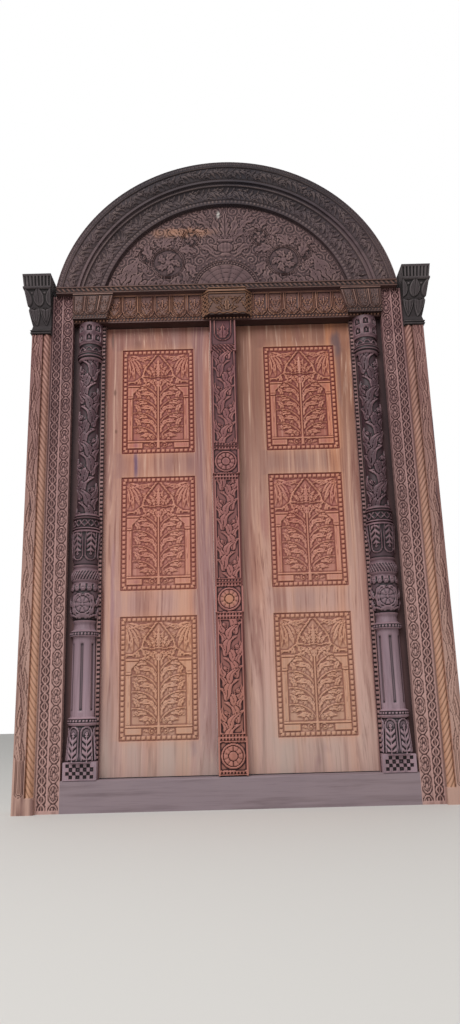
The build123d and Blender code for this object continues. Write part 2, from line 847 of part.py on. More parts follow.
def post_foliage(x, z0, z1):
    """Ground between the paired leaves of a stretch of the post."""
    half = post_shaft_width / 2 - 14
    count = int((z1 - z0) // post_leaf_pitch)
    pitch = (z1 - z0) / count
    leaves = []
    for index in range(count):
        z = z0 + index * pitch
        for side in (-1, 1):
            tip = (x + side * half, z + pitch * 0.72)
            leaves.append(blade((x + side * 3, z + 6), tip, side * -14, post_leaf_width))
    return carve(rectangle(x - half, x + half, z0, z1), leaves)


def build_parts():
    """Every piece under its own name."""
    parts = {"sill": make_sill(), "lintel": make_lintel(), "lintel_centre_block": make_centre_block()}
    pairs = {
        "jamb": make_jamb(),
        "hanging_stile": make_hanging_stile(),
        "beaded_stop": make_stop(),
        "pilaster": make_pilaster(),
        "pilaster_capital": make_pilaster_capital(),
        "colonnette": make_colonnette(),
        "impost": make_impost(),
        "outer_arch": make_ring_side(outer_ring_section(), crown_half_angle),
        "inner_arch": make_ring_side(inner_ring_section(), inner_crown_half_angle),
    }
    for name, piece in pairs.items():
        parts["right_" + name] = piece
        parts["left_" + name] = other_side(piece)
    parts["arch_rail"] = make_rail()
    parts["outer_arch_crown"] = make_ring_crown(outer_ring_section(), crown_half_angle)
    parts["inner_arch_crown"] = make_ring_crown(inner_ring_section(), inner_crown_half_angle)
    ground = carved_ground()
    joint = springing + tympanum_lower_height
    parts["tympanum_lower_board"] = make_tympanum_board(ground, springing, joint)
    parts["tympanum_upper_board"] = make_tympanum_board(ground, joint, arch_centre + arch_radius)
    parts["frame_pegs"] = Compound(children=frame_pegs())
    parts["pivot_sockets"] = make_sockets()
    grooves = panel_grooves()
    for side, name in ((-1, "left"), (1, "right")):
        wide, narrow = make_leaf_planks(side, grooves)
        parts[name + "_leaf_plank"] = wide
        parts[name + "_leaf_edge_plank"] = narrow
        for number, level in enumerate(ledge_levels, start=1):
            parts[f"{name}_leaf_ledge_{number}"] = ledge(side, level)
        parts[name + "_pintles"] = make_pintles(side)
    parts["centre_post"] = make_centre_post()
    return parts


os.makedirs("parts", exist_ok=True)
for name, piece in build_parts().items():
    piece.label = name
    export_step(piece, f"parts/{name}.step")
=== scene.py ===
from math import cos, hypot, pi, radians, sin

import bpy
import numpy as np
from mathutils import Euler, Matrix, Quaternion, Vector


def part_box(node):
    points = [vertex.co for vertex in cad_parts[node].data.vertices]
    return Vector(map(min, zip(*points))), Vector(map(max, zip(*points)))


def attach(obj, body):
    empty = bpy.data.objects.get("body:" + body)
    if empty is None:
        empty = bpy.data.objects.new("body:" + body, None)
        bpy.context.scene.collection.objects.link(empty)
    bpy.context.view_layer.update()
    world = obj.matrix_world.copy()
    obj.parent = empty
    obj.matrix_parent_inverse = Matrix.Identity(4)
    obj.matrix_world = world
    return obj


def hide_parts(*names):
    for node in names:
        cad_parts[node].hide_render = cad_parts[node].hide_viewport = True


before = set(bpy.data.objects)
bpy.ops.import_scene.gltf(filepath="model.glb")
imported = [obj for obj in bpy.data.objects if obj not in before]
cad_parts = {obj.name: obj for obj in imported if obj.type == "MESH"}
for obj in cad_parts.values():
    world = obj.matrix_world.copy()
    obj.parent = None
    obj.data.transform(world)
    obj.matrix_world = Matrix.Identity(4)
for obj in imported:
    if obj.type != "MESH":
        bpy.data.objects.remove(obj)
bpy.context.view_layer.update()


# The sill is one thick hardwood beam between the feet of the jambs, left plain and greyed by rain.
# Its wood is the plainest of all, so the way in which wood is painted is set out here. Carving is in
# millimetres, places in the woods and on the stage are in metres, and colours are sRGB, 0 to 255.

mm = 0.001
# The woods darken from foot_level up to head_level, in metres, as painted shade.
head_level = 2.35
foot_level = 0.35
blot_depth = 0.025
glow_colour = (206, 148, 104)


class Shade:
    """A socket of a material, on which Python's operators add Math nodes."""

    def __init__(self, tree, socket):
        self.tree = tree
        self.socket = socket

    def node(self, kind, settings, inputs, output=0):
        """Adds a node of a kind: its settings first, then the values or links of its sockets."""
        made = self.tree.nodes.new(kind)
        for key, value in settings.items():
            setattr(made, key, value)
        for key, value in inputs.items():
            if isinstance(value, Shade):
                self.tree.links.new(value.socket, made.inputs[key])
            else:
                made.inputs[key].default_value = value
        return Shade(self.tree, made.outputs[output])

    def math(self, operation, first, second):
        """One Math node on two values or Shades."""
        return self.node("ShaderNodeMath", {"operation": operation}, {0: first, 1: second})

    def __add__(self, other):
        return self.math("ADD", self, other)

    def __radd__(self, other):
        return self.math("ADD", other, self)

    def __sub__(self, other):
        return self.math("SUBTRACT", self, other)

    def __rsub__(self, other):
        return self.math("SUBTRACT", other, self)

    def __mul__(self, other):
        return self.math("MULTIPLY", self, other)

    def __rmul__(self, other):
        return self.math("MULTIPLY", other, self)

    def rise(self, low, high):
        """0 below low, 1 above high, and a smooth step between them."""
        return self.node("ShaderNodeMapRange", {"interpolation_type": "SMOOTHSTEP"},
                         {0: self, 1: low, 2: high, 3: 0.0, 4: 1.0})

    def stretched(self, x, y, z):
        """The place with each axis scaled, which draws a pattern out along the smallest."""
        return self.node("ShaderNodeVectorMath", {"operation": "MULTIPLY"}, {0: self, 1: (x, y, z)})

    def noise(self, scale, detail, distortion=0.0):
        """Fractal noise from 0 to 1 at this place."""
        return self.node("ShaderNodeTexNoise", {}, {"Vector": self, "Scale": scale, "Detail": detail,
                                                    "Roughness": 0.6, "Distortion": distortion})

    def towards(self, colour, amount):
        """This colour mixed with another by an amount from 0 to 1."""
        return self.node("ShaderNodeMix", {"data_type": "RGBA"}, {0: amount, 6: self, 7: colour}, 2)


def paint(red, green, blue):
    """Linear colour of an sRGB one: the sRGB curve undone, with an alpha of 1."""
    share = np.array([red, green, blue]) / 255
    linear = np.where(share <= 0.04045, share / 12.92, ((share + 0.055) / 1.055) ** 2.4)
    return (*linear, 1.0)


def begin(name):
    """A new material, its shader and a Shade that holds the place on the object."""
    material = bpy.data.materials.new(name)
    material.use_nodes = True
    tree = material.node_tree
    where = tree.nodes.new("ShaderNodeTexCoord")
    return material, tree.nodes["Principled BSDF"], Shade(tree, where.outputs["Object"])


def mark(place, name):
    """A piece's own attribute, which its mesh carries from point to point."""
    return place.node("ShaderNodeAttribute", {"attribute_name": name}, {}, 2)


def connect(shader, **sockets):
    """Links Shades to the shader's sockets and sets the rest, with _ for a space in a name."""
    for key, value in sockets.items():
        socket = shader.inputs[key.replace("_", " ")]
        if isinstance(value, Shade):
            value.tree.links.new(value.socket, socket)
        else:
            socket.default_value = value


def fibres(place, along):
    """Long grain streaks and short pores: two noises drawn out along the fibres."""
    wide = {"X": (1.3, 26, 26), "Z": (26, 26, 1.3)}[along]
    tight = {"X": (8, 190, 190), "Z": (190, 190, 8)}[along]
    return place.stretched(*wide).noise(1.0, 4.0, 0.5), place.stretched(*tight).noise(1.0, 2.0)


def axis_value(place, axis):
    """One of the place's three values: 0 for x, 1 for y, 2 for z."""
    return place.node("ShaderNodeSeparateXYZ", {}, {0: place}, axis)


def height_share(place, foot=foot_level, head=head_level):
    """0 at the foot of the door and 1 at its head, or between two other levels in metres."""
    return axis_value(place, 2).rise(foot, head)


def blend(share, low, high):
    """A colour between two sRGB ones: low where the share is 0, and high where it is 1."""
    return share.node("ShaderNodeMix", {"data_type": "RGBA"}, {0: share, 6: paint(*low), 7: paint(*high)}, 2)


def grain_bump(height, strength, distance):
    """Normal of a surface roughened by grain that is too fine for the mesh."""
    return height.node("ShaderNodeBump", {}, {"Strength": strength, "Distance": distance, "Height": height})


def carved_colour(place, colour, groove, crest, depth=1.0):
    """Painted shade and dirt in hollows, painted shade on undersides, and wear and painted highlight on
    edges.
    """
    edge = mark(place, "edge")
    # Hollows take painted shade and dirt, and raised edges take wear and a painted highlight, varied by a
    # noise.
    dust_and_highlight = place.noise(14.0, 4.0).rise(0.3, 0.75)
    hollow_shade_and_dirt = mark(place, "sunk") * (0.4 * depth) + (0 - edge).rise(0.04, 0.5) * (0.7 * depth)
    colour = colour.towards(paint(*groove), hollow_shade_and_dirt)
    colour = colour.towards(paint(*crest), edge.rise(0.04, 0.5) * (0.15 + dust_and_highlight * 0.45))
    return colour.towards(paint(*groove), mark(place, "shade") * 0.85)


def blot(place, x, y, z, half_x, half_z):
    """Soft upright oval with a ragged edge on a face at y, for a stain or a knot. Sizes in metres."""
    ragged = place.stretched(30, 30, 8).noise(1.0, 3.0) - 0.5
    moved = place.node("ShaderNodeVectorMath", {"operation": "SUBTRACT"}, {0: place, 1: (x, y, z)})
    flat = moved.stretched(1 / half_x, 1 / blot_depth, 1 / half_z)
    reach = flat.node("ShaderNodeVectorMath", {"operation": "LENGTH"}, {0: flat}, 1)
    return 1 - (reach + ragged * 1.2).rise(0.35, 1.15)


def stained(place, colour, stains, face):
    """Lays blots on a face at y. Each has its middle, half width, half height, colour and strength."""
    for x, z, half_x, half_z, tone, amount in stains:
        colour = colour.towards(paint(*tone), blot(place, x, face, z, half_x, half_z) * amount)
    return colour


def wood(name, head, foot, vein, groove, crest, along, rough=0.62, streaks=0.5, depth=1.0,
         span=(foot_level, head_level), stains=(), face=0.0):
    """Old hardwood: its colour changes from head to foot, with the darker head painted shade, and darker
    grain veins it.
    """
    material, shader, place = begin(name)
    streak, pore = fibres(place, along)
    # Between the span's levels the colour darkens upwards as painted shade, and the warm glow fades with it.
    level = height_share(place, *span)
    base = blend(level, foot, head)
    base = base.towards(paint(*vein), streak.rise(0.46, 0.72) * streaks + pore.rise(0.5, 0.8) * 0.18)
    base = base.towards(paint(*crest), place.noise(2.6, 3.0).rise(0.35, 0.7) * 0.16)
    base = base.towards(paint(*glow_colour), mark(place, "glow") * (0.55 - level * 0.45))
    base = stained(place, base, stains, face)
    connect(shader, Base_Color=carved_colour(place, base, groove, crest, depth), Specular_IOR_Level=0.3,
            Roughness=rough + pore * 0.2, Normal=grain_bump(streak * 0.6 + pore * 0.4, 0.5, 0.0012))
    return material


def dress(node, material):
    """Gives a CAD part its finish."""
    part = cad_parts[node]
    part.data.materials.clear()
    part.data.materials.append(material)


sill_wood = wood("sill_wood", head=(140, 118, 122), foot=(142, 126, 132), vein=(84, 66, 70),
                 groove=(60, 48, 50), crest=(170, 150, 150), along="X", rough=0.7, streaks=0.55)
dress("sill", sill_wood)


# The jambs are tenoned hardwood uprights beside the doorway. Each has two bands cut into its face
# from head to foot: a row of fluted ovals next to the opening, and a plaited chain outside it.

jamb_relief = 5.0
jamb_line = 3.9
jamb_column = 2.9
jamb_foot = 12.0
oval_middle = 26.0
oval_half = 22.0
oval_pitch = 80.0
chain_middle = 76.0
chain_half = 20.0
chain_pitch = 76.0


def box(node):
    """Lowest and highest corner of a CAD part in millimetres."""
    low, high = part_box(node)
    return np.array(low) / mm, np.array(high) / mm


def front_of(node):
    """Where a CAD part's front face lies, in metres: the y at which its stains are laid."""
    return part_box(node)[0][1]


def both_sides(kind):
    """The right and the left part of a kind: its side, its name and its two corners."""
    for side, hand in ((1, "right_"), (-1, "left_")):
        yield side, hand + kind, *box(hand + kind)


def from_middle(low, high):
    """Distances of a part's inner and outer face from the middle of the door."""
    return sorted((abs(low[0]), abs(high[0])))


def lines(start, end, spacing):
    """Evenly spaced lines from start to end, about a spacing apart."""
    return np.linspace(start, end, max(2, int(round(abs(end - start) / spacing)) + 1))


def raised(inside, edge=2.5):
    """1 where a shape stands, 0 beside it, with a rounded shoulder an edge wide."""
    share = np.clip(inside / edge, 0, 1)
    return share * share * (3 - 2 * share)


def ridge(off, half, edge=2.5):
    """1 along a line and 0 beside it, from the distance to the line and half the ridge's width."""
    return raised(half - abs(off), edge)


def repeated(along, pitch):
    """Distance to the nearest middle of a unit that repeats every pitch."""
    return (along + pitch / 2) % pitch - pitch / 2


def blurred(field, passes=5):
    """Local mean of a field: each pass averages a point with its four neighbours."""
    for _ in range(passes):
        wide = np.pad(field, 1, mode="edge")
        field = (wide[:-2, 1:-1] + wide[2:, 1:-1] + wide[1:-1, :-2] + wide[1:-1, 2:] + field) / 5
    return field


def shell(name, points, height, material, body, nodes, marks={}):
    """Closed piece from loops of points in millimetres.

    Quads join each loop to the next along the piece, and a flat end closes the first and the last.
    height is 1 on the uncut face and 0 on the ground of the carving. Its depth gives the sunk
    attribute, and its height above the local mean gives the edge attribute.
    """
    rows, around = height.shape
    index = np.arange(rows * around).reshape(rows, around)
    beside = np.roll(index, -1, axis=1)
    quads = np.stack([index[:-1], beside[:-1], beside[1:], index[1:]], axis=-1).reshape(-1, 4)
    ends = np.stack([index[0][::-1], index[-1]])
    place = points.reshape(-1, 3) * mm
    a, b, c, d = (place[quads[:, corner]] for corner in range(4))
    volume = np.einsum("ij,ij->", a, np.cross(b, c)) + np.einsum("ij,ij->", a, np.cross(c, d))
    for end in ends:
        rim = place[end]
        areas = np.cross(rim, np.roll(rim, -1, axis=0))
        volume += np.einsum("ij,ij->", np.broadcast_to(rim[0], rim.shape), areas)
    if volume < 0:
        quads = quads[:, ::-1]
        ends = ends[:, ::-1]
    corners = np.concatenate([quads.ravel(), ends.ravel()])
    sizes = np.concatenate([np.full(len(quads), 4), np.full(2, around)])
    mesh = bpy.data.meshes.new(name)
    mesh.vertices.add(len(place))
    mesh.vertices.foreach_set("co", place.astype(np.float32).ravel())
    mesh.loops.add(len(corners))
    mesh.loops.foreach_set("vertex_index", corners.astype(np.int32))
    mesh.polygons.add(len(sizes))
    mesh.polygons.foreach_set("loop_start", np.concatenate([[0], np.cumsum(sizes)[:-1]]).astype(np.int32))
    mesh.polygons.foreach_set("loop_total", sizes.astype(np.int32))
    mesh.update(calc_edges=True)
    mesh.polygons.foreach_set("use_smooth", np.ones(len(sizes), bool))
    mesh.set_sharp_from_angle(angle=radians(42))
    edge = np.clip((height - blurred(height)) * 2.2, -1, 1)
    for key, values in {"sunk": 1 - height, "edge": edge, **marks}.items():
        attribute = mesh.attributes.new(key, "FLOAT", "POINT")
        attribute.data.foreach_set("value", values.astype(np.float32).ravel())
    mesh.materials.append(material)
    piece = bpy.data.objects.new(name, mesh)
    bpy.context.scene.collection.objects.link(piece)
    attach(piece, body)
    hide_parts(*nodes)


def board_loops(x, z, front, back):
    """Loops round an upright board: its front from side to side, then its two back corners."""
    across = np.broadcast_to(x, front.shape)
    across = np.concatenate([across, across[:, -1:], across[:, :1]], axis=1)
    depth = np.pad(front, ((0, 0), (0, 2)), constant_values=back)
    level = np.broadcast_to(np.reshape(z, (-1, 1)), depth.shape)
    return np.stack([across, depth, level], axis=-1)


def face_only(field, value=1.0, corners=2):
    """A field of a piece's front, with a value for the corners behind it added."""
    return np.pad(field, ((0, 0), (0, corners)), constant_values=value)


def carved_board(node, x, z, height, relief, material, slot, **marks):
    """A board of the frame in place of a CAD part, its front cut back by up to the relief."""
    low, high = box(node)
    front = low[1] + relief * (1 - height)
    shell(node + "_carved", board_loops(x, z, front, high[1]), face_only(height), material, "frame",
          [node], marks)


def oval_band(p, q):
    """Fluted ovals: a raised rim, ribs round a bud inside it, and a leaf in each corner."""
    local = repeated(q, oval_pitch)
    reach = np.hypot(p / (oval_half * 0.98), local / (oval_pitch * 0.49))
    turn = np.arctan2(local + 10, p)
    rim = raised((0.13 - abs(reach - 0.87)) * 24, 2)
    ribs = raised((0.2 - abs(reach - 0.52)) * 24, 2) * (0.45 + 0.4 * np.cos(13 * turn))
    bud = raised((1 - np.hypot(p / 6.5, (local + 8) / 12)) * 7, 3)
    leaf = raised(abs(p) - 9 - 0.75 * abs(oval_pitch / 2 - abs(local)), 2) * 0.8
    return np.maximum.reduce([rim, ribs, bud, leaf])


def chain_band(p, q):
    """Plaited chain: two strands that cross every half pitch, with a bar in each eye."""
    sway = (chain_half - 7) * np.sin(2 * pi * q / chain_pitch)
    strands = np.maximum(ridge(p - sway, 4.5), ridge(p + sway, 4.5))
    local = abs(repeated(q - chain_pitch / 4, chain_pitch / 2))
    bar = ridge(p, 3.2, 1.5) * raised(15 - local, 4)
    side = raised(abs(p) - 15, 2) * raised(local - 13, 3)
    return np.maximum.reduce([strands, bar, side])


jamb_wood = wood("jamb_wood", head=(94, 62, 66), foot=(186, 150, 142), vein=(84, 52, 52),
                 groove=(52, 26, 30), crest=(200, 158, 152), along="Z", depth=0.8, span=(0.0, 2.3),
                 stains=((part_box("left_jamb")[0][0], 2.05, 0.16, 0.42, (58, 42, 45), 0.45),),
                 face=front_of("left_jamb"))
for side, name, low, high in both_sides("jamb"):
    inner, outer = from_middle(low, high)
    across = lines(0, outer - inner, jamb_column)
    z = lines(low[2], high[2], jamb_line)
    p, q = np.meshgrid(across, z)
    chain = np.where(abs(p - chain_middle) < chain_half, chain_band(p - chain_middle, q), 1.0)
    carving = np.where(abs(p - oval_middle) < oval_half, oval_band(p - oval_middle, q), chain)
    height = np.where(q < jamb_foot, 1.0, carving)
    carved_board(name, side * (inner + across), z, height, jamb_relief, jamb_wood, "jamb_wood")
for node in ("left_hanging_stile", "right_hanging_stile", "frame_pegs"):
    dress(node, jamb_wood)


# Stop boards of the same wood are fixed behind the colonnettes, in front of the leaves' edges. They
# are painted darker than the jambs: painted shade of the narrow recess behind the colonnettes. A
# strip of square beads, parted by grooves, runs up the inner edge, with a fillet beside it.

stop_strip = 18.0
stop_pitch = 20.0
stop_relief = 5.0
stop_line = 3.6
stop_column = 1.9
stop_plain_column = 40.0

shaded_stop_wood = wood("shaded_stop_wood", head=(80, 52, 56), foot=(126, 92, 92), vein=(46, 30, 32), groove=(28, 16, 18),
                 crest=(186, 148, 144), along="Z")
for side, name, low, high in both_sides("beaded_stop"):
    inner, outer = from_middle(low, high)
    across = np.concatenate([lines(0, stop_strip + 3, stop_column),
                             lines(stop_strip + 18, outer - inner, stop_plain_column)])
    z = lines(low[2], high[2], stop_line)
    p, q = np.meshgrid(across, z)
    bead = ridge(p - stop_strip / 2 - 0.5, 7.6, 2) * ridge(repeated(q, stop_pitch), 7.2, 2.5)
    fillet = ridge(p - stop_strip, 2.2, 1)
    # The plain part is set back and toned at 0.45, so it darkens as painted shade behind the colonnette.
    plain = (p > stop_strip + 2) * 0.45
    height = np.maximum.reduce([bead, fillet, plain, raised(1.5 - p, 1.2)])
    carved_board(name, side * (inner + across), z, height, stop_relief, shaded_stop_wood, "jamb_wood")


# The pilasters are hardwood boards over the outer joint of the frame. Each has a rope, carved in the
# round, beside a sunk band in which a vine winds up. The band starts in nested loops over a plain foot.

pilaster_line = 4.4
pilaster_foot = 66.0
rope_middle = 22.0
rope_radius = 16.0
rope_pitch = 31.0
vine_middle = 64.0
vine_half = 23.0
vine_pitch = 300.0
vine_sway = 13.0
vine_relief = 5.0
vine_column = 2.8
loops_tall = 150.0
loops_pitch = 7.0


def bowed_line(x, z, start, end, bow):
    """Share along the chord from start to end, and distance from a parabola bowed to its left."""
    along = np.subtract(end, start)
    length = hypot(*along)
    along = along / length
    t = ((x - start[0]) * along[0] + (z - start[1]) * along[1]) / length
    side = (z - start[1]) * along[0] - (x - start[0]) * along[1]
    return t, side - 4 * bow * t * (1 - t), length


def stem(x, z, start, end, bow, width):
    """Round stem of even width along a bowed line."""
    t, off, length = bowed_line(x, z, start, end, bow)
    past = np.maximum(np.maximum(-t, t - 1), 0) * length
    return raised(width / 2 - np.hypot(off, past))


def leaf(x, z, start, end, bow, width, lobes=5):
    """Lobed leaf along a bowed line: widest before the middle, with a cut midrib and side veins."""
    t, off, length = bowed_line(x, z, start, end, bow)
    share = np.clip(t, 0, 1)
    half = width / 2 * np.sin(pi * share ** 0.72) ** 0.8
    half = half * (0.86 + 0.2 * np.cos(2 * pi * lobes * (share - 0.35 * abs(off) / width)))
    body = ridge(off, half) * (t > 0) * (t < 1)
    vein = 0.55 * ridge(off, 1.6, 1.2) * (share < 0.86)
    side = 0.22 * (0.5 + 0.5 * np.cos(2 * pi * lobes * (share - 0.7 * abs(off) / width)))
    return body * np.clip(0.95 - vein - side, 0.2, 1)


def overlaid(height, x, z, leaves, lobes=4, margin=2.4):
    """Lays leaves over a relief one by one; each cuts a thin line round itself first.

    A leaf is given by its start, its end, its bow and its width.
    """
    for start, end, bow, width in leaves:
        round_it = leaf(x, z, start, end, bow, width + 2 * margin, lobes) > 0.02
        height = np.maximum(np.where(round_it, 0.0, height), leaf(x, z, start, end, bow, width, lobes))
    return height


def curl(x, z, middle, radius, turns, hand, width, start=0.0):
    """Spiral stem: distance to the nearest arm of an Archimedean spiral, with an eye in it."""
    reach = np.hypot(x - middle[0], z - middle[1])
    turn = (hand * np.arctan2(z - middle[1], x - middle[0]) + start) / (2 * pi)
    gap = radius / turns
    off = abs(repeated(reach - gap * turn, gap))
    arm = raised(width / 2 - off) * (reach < radius) * (reach > gap * 0.6)
    return np.maximum(arm, raised(gap * 0.42 - reach, 2))


def bends(q, pitch):
    """The two bends in each wave of a stem: which way each turns, and the distance to its middle."""
    return [(hand, repeated(q - shift * pitch, pitch)) for hand, shift in ((1, 0.25), (-1, 0.75))]


def from_wave(p, q, pitch, sway):
    """Distance to a stem that waves along a band, by how far it sways to each side."""
    phase = 2 * pi * q / pitch
    slope = sway * 2 * pi / pitch * np.cos(phase)
    return abs(p - sway * np.sin(phase)) / np.hypot(1, slope)


def vine_band(p, q):
    """Winding vine: a grooved stem in an S curve, and two long smooth leaves in each bend."""
    off = from_wave(p, q, vine_pitch, vine_sway)
    height = np.where(off < 7.5, raised(5.2 - off, 2) - 0.5 * raised(1.2 - off, 1), 0.86)
    for hand, local in bends(q, vine_pitch):
        height = overlaid(height, hand * p, local, (
            ((10, -vine_pitch * 0.4), (-17, vine_pitch * 0.08), -9, 24),
            ((0, -vine_pitch * 0.08), (-18, vine_pitch * 0.38), 8, 22)), 0, 1.8)
    return height


cracks = (
    (0.955, 1.62, 0.004, 0.16, (52, 30, 44), 0.8), (0.940, 1.32, 0.005, 0.10, (58, 36, 50), 0.7),
    (-0.945, 1.86, 0.004, 0.12, (60, 36, 46), 0.7), (-0.93, 1.34, 0.005, 0.05, (52, 34, 44), 0.7),
)
pilaster_wood = wood("pilaster_wood", head=(116, 78, 76), foot=(192, 156, 142), vein=(96, 62, 60),
                     groove=(66, 38, 38), crest=(198, 156, 144), along="Z", streaks=0.9, depth=0.6,
                     span=(0.0, 2.3), stains=cracks, face=front_of("left_pilaster"))
for side, name, low, high in both_sides("pilaster"):
    inner, outer = from_middle(low, high)
    across = np.concatenate([lines(0, rope_middle - rope_radius, 3),
                             rope_middle + rope_radius * np.sin(lines(-pi / 2, pi / 2, pi / 14)),
                             lines(vine_middle - vine_half, outer - inner, vine_column)])
    z = lines(low[2], high[2], pilaster_line)
    p, q = np.meshgrid(across, z)
    rope_off = np.clip((p - rope_middle) / rope_radius, -1, 1)
    strand = abs(np.cos(pi * (q / rope_pitch - rope_off * 0.85))) ** 0.8
    in_rope = abs(p - rope_middle) <= rope_radius
    round_face = rope_radius - rope_radius * np.sqrt(1 - rope_off ** 2) * (0.76 + 0.24 * strand)
    foot_arc = np.sqrt(np.clip(vine_half ** 2 - (p - vine_middle) ** 2, 0, None))
    in_vine = (abs(p - vine_middle) < vine_half) & (q > pilaster_foot + vine_half - foot_arc)
    end = np.hypot(p - vine_middle, np.minimum(q - pilaster_foot - vine_half, 0))
    loops = 1 - ridge(repeated(end - loops_pitch / 2, loops_pitch), 2.2, 1.5) * 0.8
    height = np.where(q < pilaster_foot + loops_tall, loops, vine_band(p - vine_middle, q))
    height = np.where(in_vine, height, 1.0)
    beside_rope = np.where(p < rope_middle, rope_radius, vine_relief * (1 - height))
    above = raised(q - pilaster_foot, 6)
    cut = np.where(in_rope, round_face, beside_rope)
    front = low[1] + np.where(p < rope_middle + rope_radius + 1, above, 1.0) * cut
    # The strip set back beside the rope gets a tone of 0.1, and the grooves between the rope's strands a low
    # tone, so both darken as painted shade.
    tone = np.where(in_rope, 0.25 + 0.75 * strand, np.where(p < rope_middle, 0.1, height))
    tone = np.where(above > 0.5, tone, 1.0)
    shell(name + "_carved", board_loops(side * (inner + across), z, front, high[1]), face_only(tone),
          pilaster_wood, "frame", [name], {"glow": face_only(in_rope * above, 0.0)})


# Each pilaster carries a capital cut from one block of almost black wood. The mouldings run across
# its front and along its outer side: two rings, a lotus cup, a row of tall leaves, a fillet and a
# fluted cornice.

capital_profile = [
    (9, 0), (9, 22), (3, 48), (20, 132), (40, 228), (44, 228), (44, 240), (40, 240), (48, 305),
]
capital_line = 3.0
capital_relief = 6.0
capital_flutes = 8
collar_head = 24.0
cup_head = 134.0
tall_leaf_head = 226.0
cornice_foot = 242.0
cornice_lip = 290.0
cornice_head = 296.0
flute_half = 13.0
petal_flutes = 4.0
front_columns = 48
side_columns = 40


def profile_reach(profile, levels):
    """How far a profile of (reach, level) points stands out at some levels."""
    reaches, heights = zip(*profile)
    return np.interp(levels, heights, reaches)


def capital_carving(p, q):
    """Relief from the flutes counted along the faces and the level above the capital's foot."""
    rings = ridge(repeated(q - 6, 12), 4.5, 3)
    wide = abs(repeated(p - petal_flutes / 2, petal_flutes)) * flute_half
    up = np.clip((q - 44) / 84, 0, 1)
    cup_half = 24 * (1 - (1 - up) ** 2.2)
    veins = ridge(cup_half - 7 - wide, 2, 1.5) + raised(1.8 - wide, 1) * (up > 0.25)
    cup = raised(cup_half + 1 - wide, 3) * (q > 46) * (1 - 0.7 * np.clip(veins, 0, 1))
    cup = cup * (1 - 0.9 * ridge(q - 126 - wide * 0.3, 3, 2))
    between = abs(repeated(p, petal_flutes)) * flute_half
    tall_half = 23 * np.sin(pi * np.clip((q - 142) / 92, 0, 1) ** 0.75) ** 0.7
    tall_leaf = raised(tall_half - between, 3) * (1 - 0.6 * raised(1.8 - between, 1.2))
    tall_leaf = tall_leaf * (1 - 0.5 * ridge(tall_half - 7 - between, 1.6))
    tall_leaf = np.maximum(tall_leaf, 0.75 * raised(7 - np.hypot(wide, q - 208), 4))
    flute = raised((abs(repeated(p - 0.5, 1.0)) - 0.2) * 24, 2.5)
    above = np.where(q < tall_leaf_head, tall_leaf, 1.0)
    height = np.where(q < collar_head, rings, np.where(q < cup_head, cup, above))
    in_cornice = (q > cornice_foot) & (q < cornice_head)
    return np.where(in_cornice, np.maximum(flute, raised(q - cornice_lip, 5)), height)


capital_wood = wood("capital_wood", head=(54, 46, 48), foot=(54, 46, 49), vein=(34, 27, 29),
                    groove=(15, 10, 10), crest=(106, 98, 98), along="Z", rough=0.7, streaks=0.6)
for side, name, low, high in both_sides("pilaster_capital"):
    inner = from_middle(low, high)[0]
    pilaster_low, pilaster_high = box(name.replace("_capital", ""))
    pilaster_outer = from_middle(pilaster_low, pilaster_high)[1]
    z = lines(0, high[2] - low[2], capital_line)
    overhang = profile_reach(capital_profile, z)
    front_run = lines(0, 1, 1 / front_columns)
    side_run = lines(0, 1, 1 / side_columns)
    flutes = np.concatenate([front_run * capital_flutes, capital_flutes + side_run * capital_flutes])
    height = capital_carving(*np.meshgrid(flutes, z))
    reach = overhang[:, None] - capital_relief * (1 - height)
    outer = pilaster_outer + reach
    front = pilaster_low[1] - reach
    width = outer - inner
    depth = high[1] - front
    first = len(front_run)
    one = np.ones((len(z), 1))
    x = np.concatenate([inner + width[:, :first] * front_run, outer[:, first:], one * inner], axis=1)
    side_y = front[:, first:] + depth[:, first:] * side_run
    y = np.concatenate([front[:, :first], side_y, one * high[1]], axis=1)
    level = np.broadcast_to((low[2] + z)[:, None], x.shape)
    shell(name + "_carved", np.stack([side * x, y, level], axis=-1), face_only(height, corners=1),
          capital_wood, "frame", [name])


# Each colonnette is worked from one post, flat behind, and stands on a square chequered plinth.
# From below: a leaf vase, a fluted shaft, a rosette bulb, a rope ring, a second vase, a foliage
# shaft and a pierced capital. It darkens upwards to its darkest at eye level, which is painted shade,
# and hands have polished it.

colonnette_line = 3.9
colonnette_columns = 43
colonnette_profile = [
    (70, 0), (60, 152), (66, 158), (66, 180), (53, 185), (51, 530), (66, 535), (66, 551), (50, 562),
    (46, 584), (56, 606), (68, 640), (69, 690), (64, 724), (62, 730), (66, 742), (60, 764), (56, 772),
    (66, 788), (68, 806), (62, 824), (54, 838), (60, 852), (70, 1005), (62, 1014), (66, 1020), (62, 1030),
    (62, 1066), (66, 1074), (58, 1086), (56, 1092), (54, 1866), (60, 1876), (66, 1890), (66, 1900),
    (58, 1914), (56, 1950), (60, 1962), (60, 2066),
]
colonnette_inset = 75.0
colonnette_axis = 8.0
plinth_height = 74.0
plinth_square = 15.0
plinth_rim = 7.0
plinth_relief = 5.0
plinth_line = 2.9
foliage_pitch = 240.0
foliage_half = 56.0


def bead_line(along, off, pitch, radius, edge=3):
    """Row of round beads, from the length along the row and the distance off it."""
    return raised(radius - np.hypot(repeated(along, pitch), off), edge)


